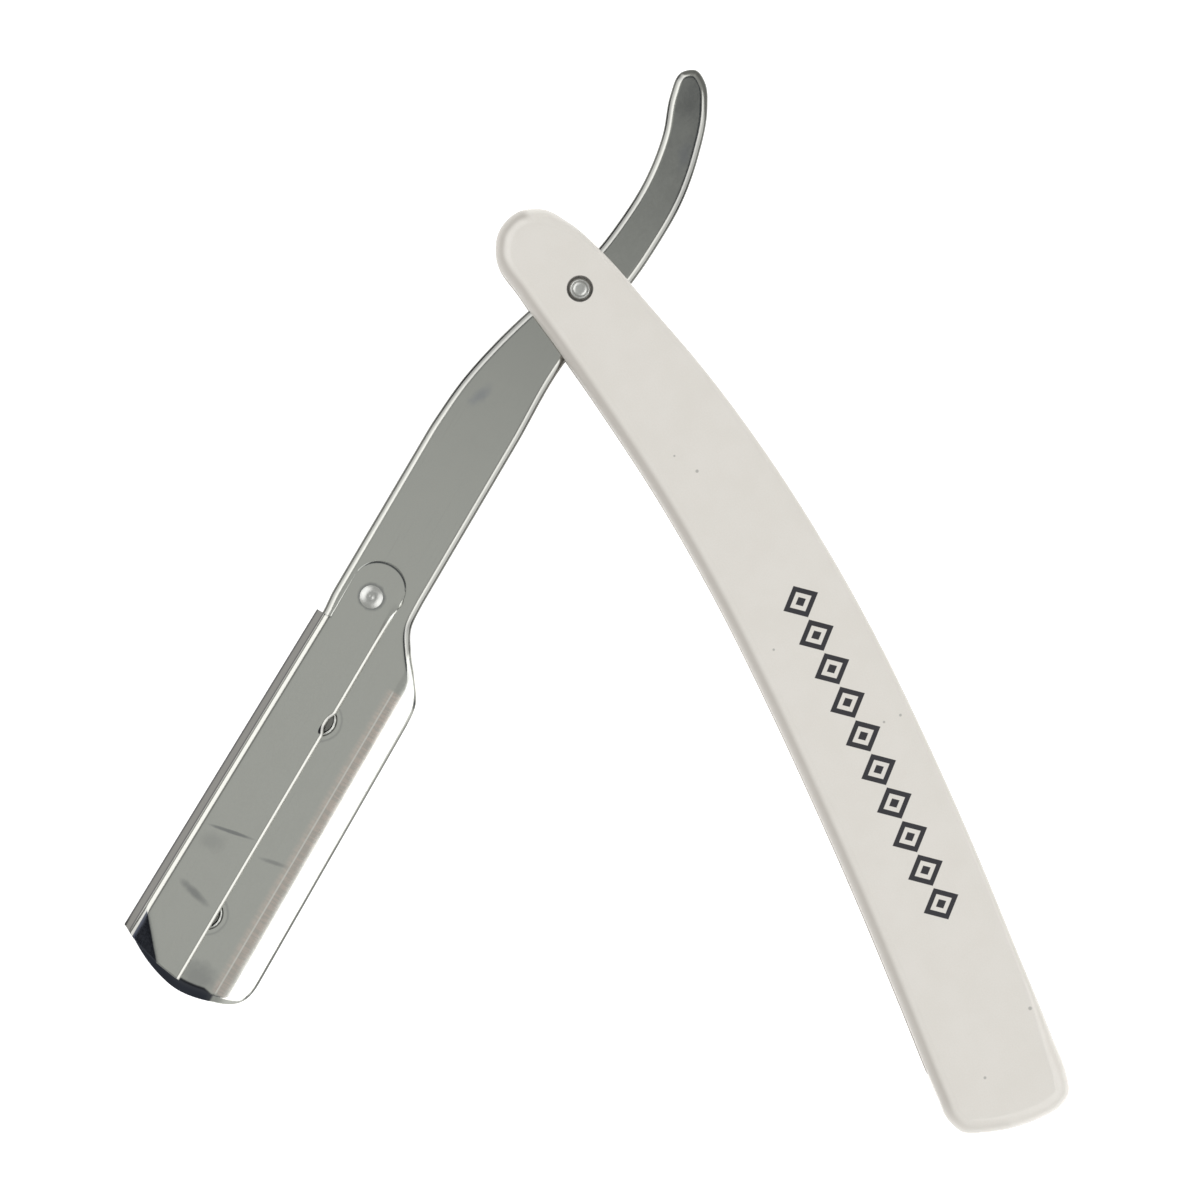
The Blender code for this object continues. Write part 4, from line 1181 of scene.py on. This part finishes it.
CAMERA_TURN = math.radians(62.0)
CAMERA_HEIGHT = 700.0
VIEW_LEVEL = 7.0
VIEW_WIDTH = 150.0
VIEW_CENTRE = PIVOT + np.array((35.39, -15.99))
LIGHT_LIFT = math.radians(48.0)
LIGHT_DISTANCE = 700.0
LIGHT_WIDTH = 800.0
LIGHT_HEIGHT = 520.0
LIGHT_AIM_LEVEL = 5.0
LIGHT_POWER = 2.0
FLOOR_HALF = 2000.0
FLOOR_GLOW = 0.7
CARD_DARK = (0.02, 0.025, 0.035, 1.0)
ROOM_GREY = (0.62, 0.63, 0.605, 1.0)


def image_direction(right, up):
    """A direction in the floor's plane from its parts to the right and upwards in the view."""
    cos, sin = math.cos(CAMERA_TURN), math.sin(CAMERA_TURN)
    return np.array((cos * right - sin * up, sin * right + cos * up))


def softbox(name, right, up):
    """A rectangular light that faces the razor from one side of the view."""
    light = bpy.data.lights.new(name, "AREA")
    light.shape = "RECTANGLE"
    light.size, light.size_y = LIGHT_WIDTH * MM, LIGHT_HEIGHT * MM
    light.energy = LIGHT_POWER
    side = image_direction(right, up)
    side = side / np.linalg.norm(side)
    away = VIEW_CENTRE + side * math.cos(LIGHT_LIFT) * LIGHT_DISTANCE
    place = np.array((*away, math.sin(LIGHT_LIFT) * LIGHT_DISTANCE))
    obj = bpy.data.objects.new(name, light)
    obj.location = Vector(place * MM)
    aim = Vector((*VIEW_CENTRE, LIGHT_AIM_LEVEL)) * MM - obj.location
    obj.rotation_euler = aim.to_track_quat("-Z", "Y").to_euler()
    bpy.context.scene.collection.objects.link(obj)


def make_world():
    """Soft surroundings: mid grey, with a dark card high over each end of the arm."""
    world = bpy.data.worlds.new("studio_room")
    bpy.context.scene.world = world
    world.use_nodes = True
    tree = world.node_tree
    shader = tree.nodes["Background"]
    direction = add_node(tree, "ShaderNodeTexCoord", {}).outputs["Generated"]
    along = vector(tree, "DOT_PRODUCT", direction, (math.cos(ARM_TURN), math.sin(ARM_TURN), 0.0))
    across = vector(tree, "DOT_PRODUCT", direction, (-math.sin(ARM_TURN), math.cos(ARM_TURN), 0.0))
    tail_side = ramp_between(tree, along, -0.13, 0.0, 0.05, 1.0)
    blade_side = ramp_between(tree, along, 0.13, 0.26, 1.0, 0.06)
    past_tail = ramp_between(tree, along, -0.2, -0.34, 0.0, 0.85)
    past_blade = ramp_between(tree, along, 0.26, 0.38, 0.0, 0.85)
    past_cards = maths(tree, "MAXIMUM", past_tail, past_blade)
    level = maths(tree, "MAXIMUM", times(tree, tail_side, blade_side), past_cards)
    off_middle = maths(tree, "ABSOLUTE", across)
    outwards = ramp_between(tree, off_middle, 0.06, 0.14)
    inwards = ramp_between(tree, off_middle, 0.4, 0.3)
    dim_strips = maths(tree, "MULTIPLY_ADD", times(tree, outwards, inwards), -0.15, 1.0)
    colour = mixed(tree, times(tree, level, dim_strips), CARD_DARK, ROOM_GREY)
    feed(tree, shader, {"Color": colour, "Strength": 1.0})


def make_studio():
    """Camera straight above, plain pale floor that glows a little, surroundings and two softboxes."""
    camera_data = bpy.data.cameras.new("camera")
    camera_data.sensor_fit = "HORIZONTAL"
    camera_data.angle = 2.0 * math.atan(VIEW_WIDTH / 2.0 / CAMERA_HEIGHT)
    camera_data.clip_start = 0.01
    camera_data.clip_end = 20.0
    camera = bpy.data.objects.new("camera", camera_data)
    camera.location = Vector((*VIEW_CENTRE, VIEW_LEVEL + CAMERA_HEIGHT)) * MM
    camera.rotation_euler = (0.0, 0.0, CAMERA_TURN)
    bpy.context.scene.collection.objects.link(camera)
    bpy.context.scene.camera = camera

    corners = FLOOR_HALF * np.array([(-1, -1, 0), (1, -1, 0), (1, 1, 0), (-1, 1, 0)])
    floor = new_object("floor", corners, [(0, 1, 2, 3)])
    material, tree, shader = new_material("pale_floor")
    grain = use(tree, GRAIN, Vector=use(tree, HANDLE_PLACE), Scale=0.05, Coarse=0.3)
    base = mixed(tree, grain, (0.93, 0.93, 0.93, 1.0), (0.96, 0.96, 0.96, 1.0))
    white = (1.0, 1.0, 1.0, 1.0)
    glow = {"Emission Color": white, "Emission Strength": FLOOR_GLOW}
    feed(tree, shader, {"Base Color": base, "Roughness": 0.8, **glow})
    floor.data.materials.append(material)

    make_world()
    softbox("cutting_side", 0.861, -0.508)
    softbox("spine_side", -0.861, 0.508)
    bpy.context.scene.view_settings.view_transform = "Standard"


# ---------------------------------------------------------------- razor

def main():
    plastic = plastic_material()
    arm_marks = (*ARM_MARKS, *stud_marks())
    arm_steel = steel_material("arm_steel", ARM_PLACE, marks=arm_marks, details=arm_details)
    clamp_steel = steel_material("clamp_steel", ARM_PLACE, marks=LEAF_MARKS, details=clamp_details)
    pin_steel = steel_material("pin_steel", HANDLE_PLACE, colour=PIN_GREY, roughness=0.36)
    make_handle(plastic)
    make_pivot(pin_steel)
    make_blade_arm(arm_steel)
    make_swing_clamp(clamp_steel)
    make_studs(arm_steel)
    make_clamp_rivet(pin_steel)
    make_studio()


main()
bpy.context.view_layer.update()
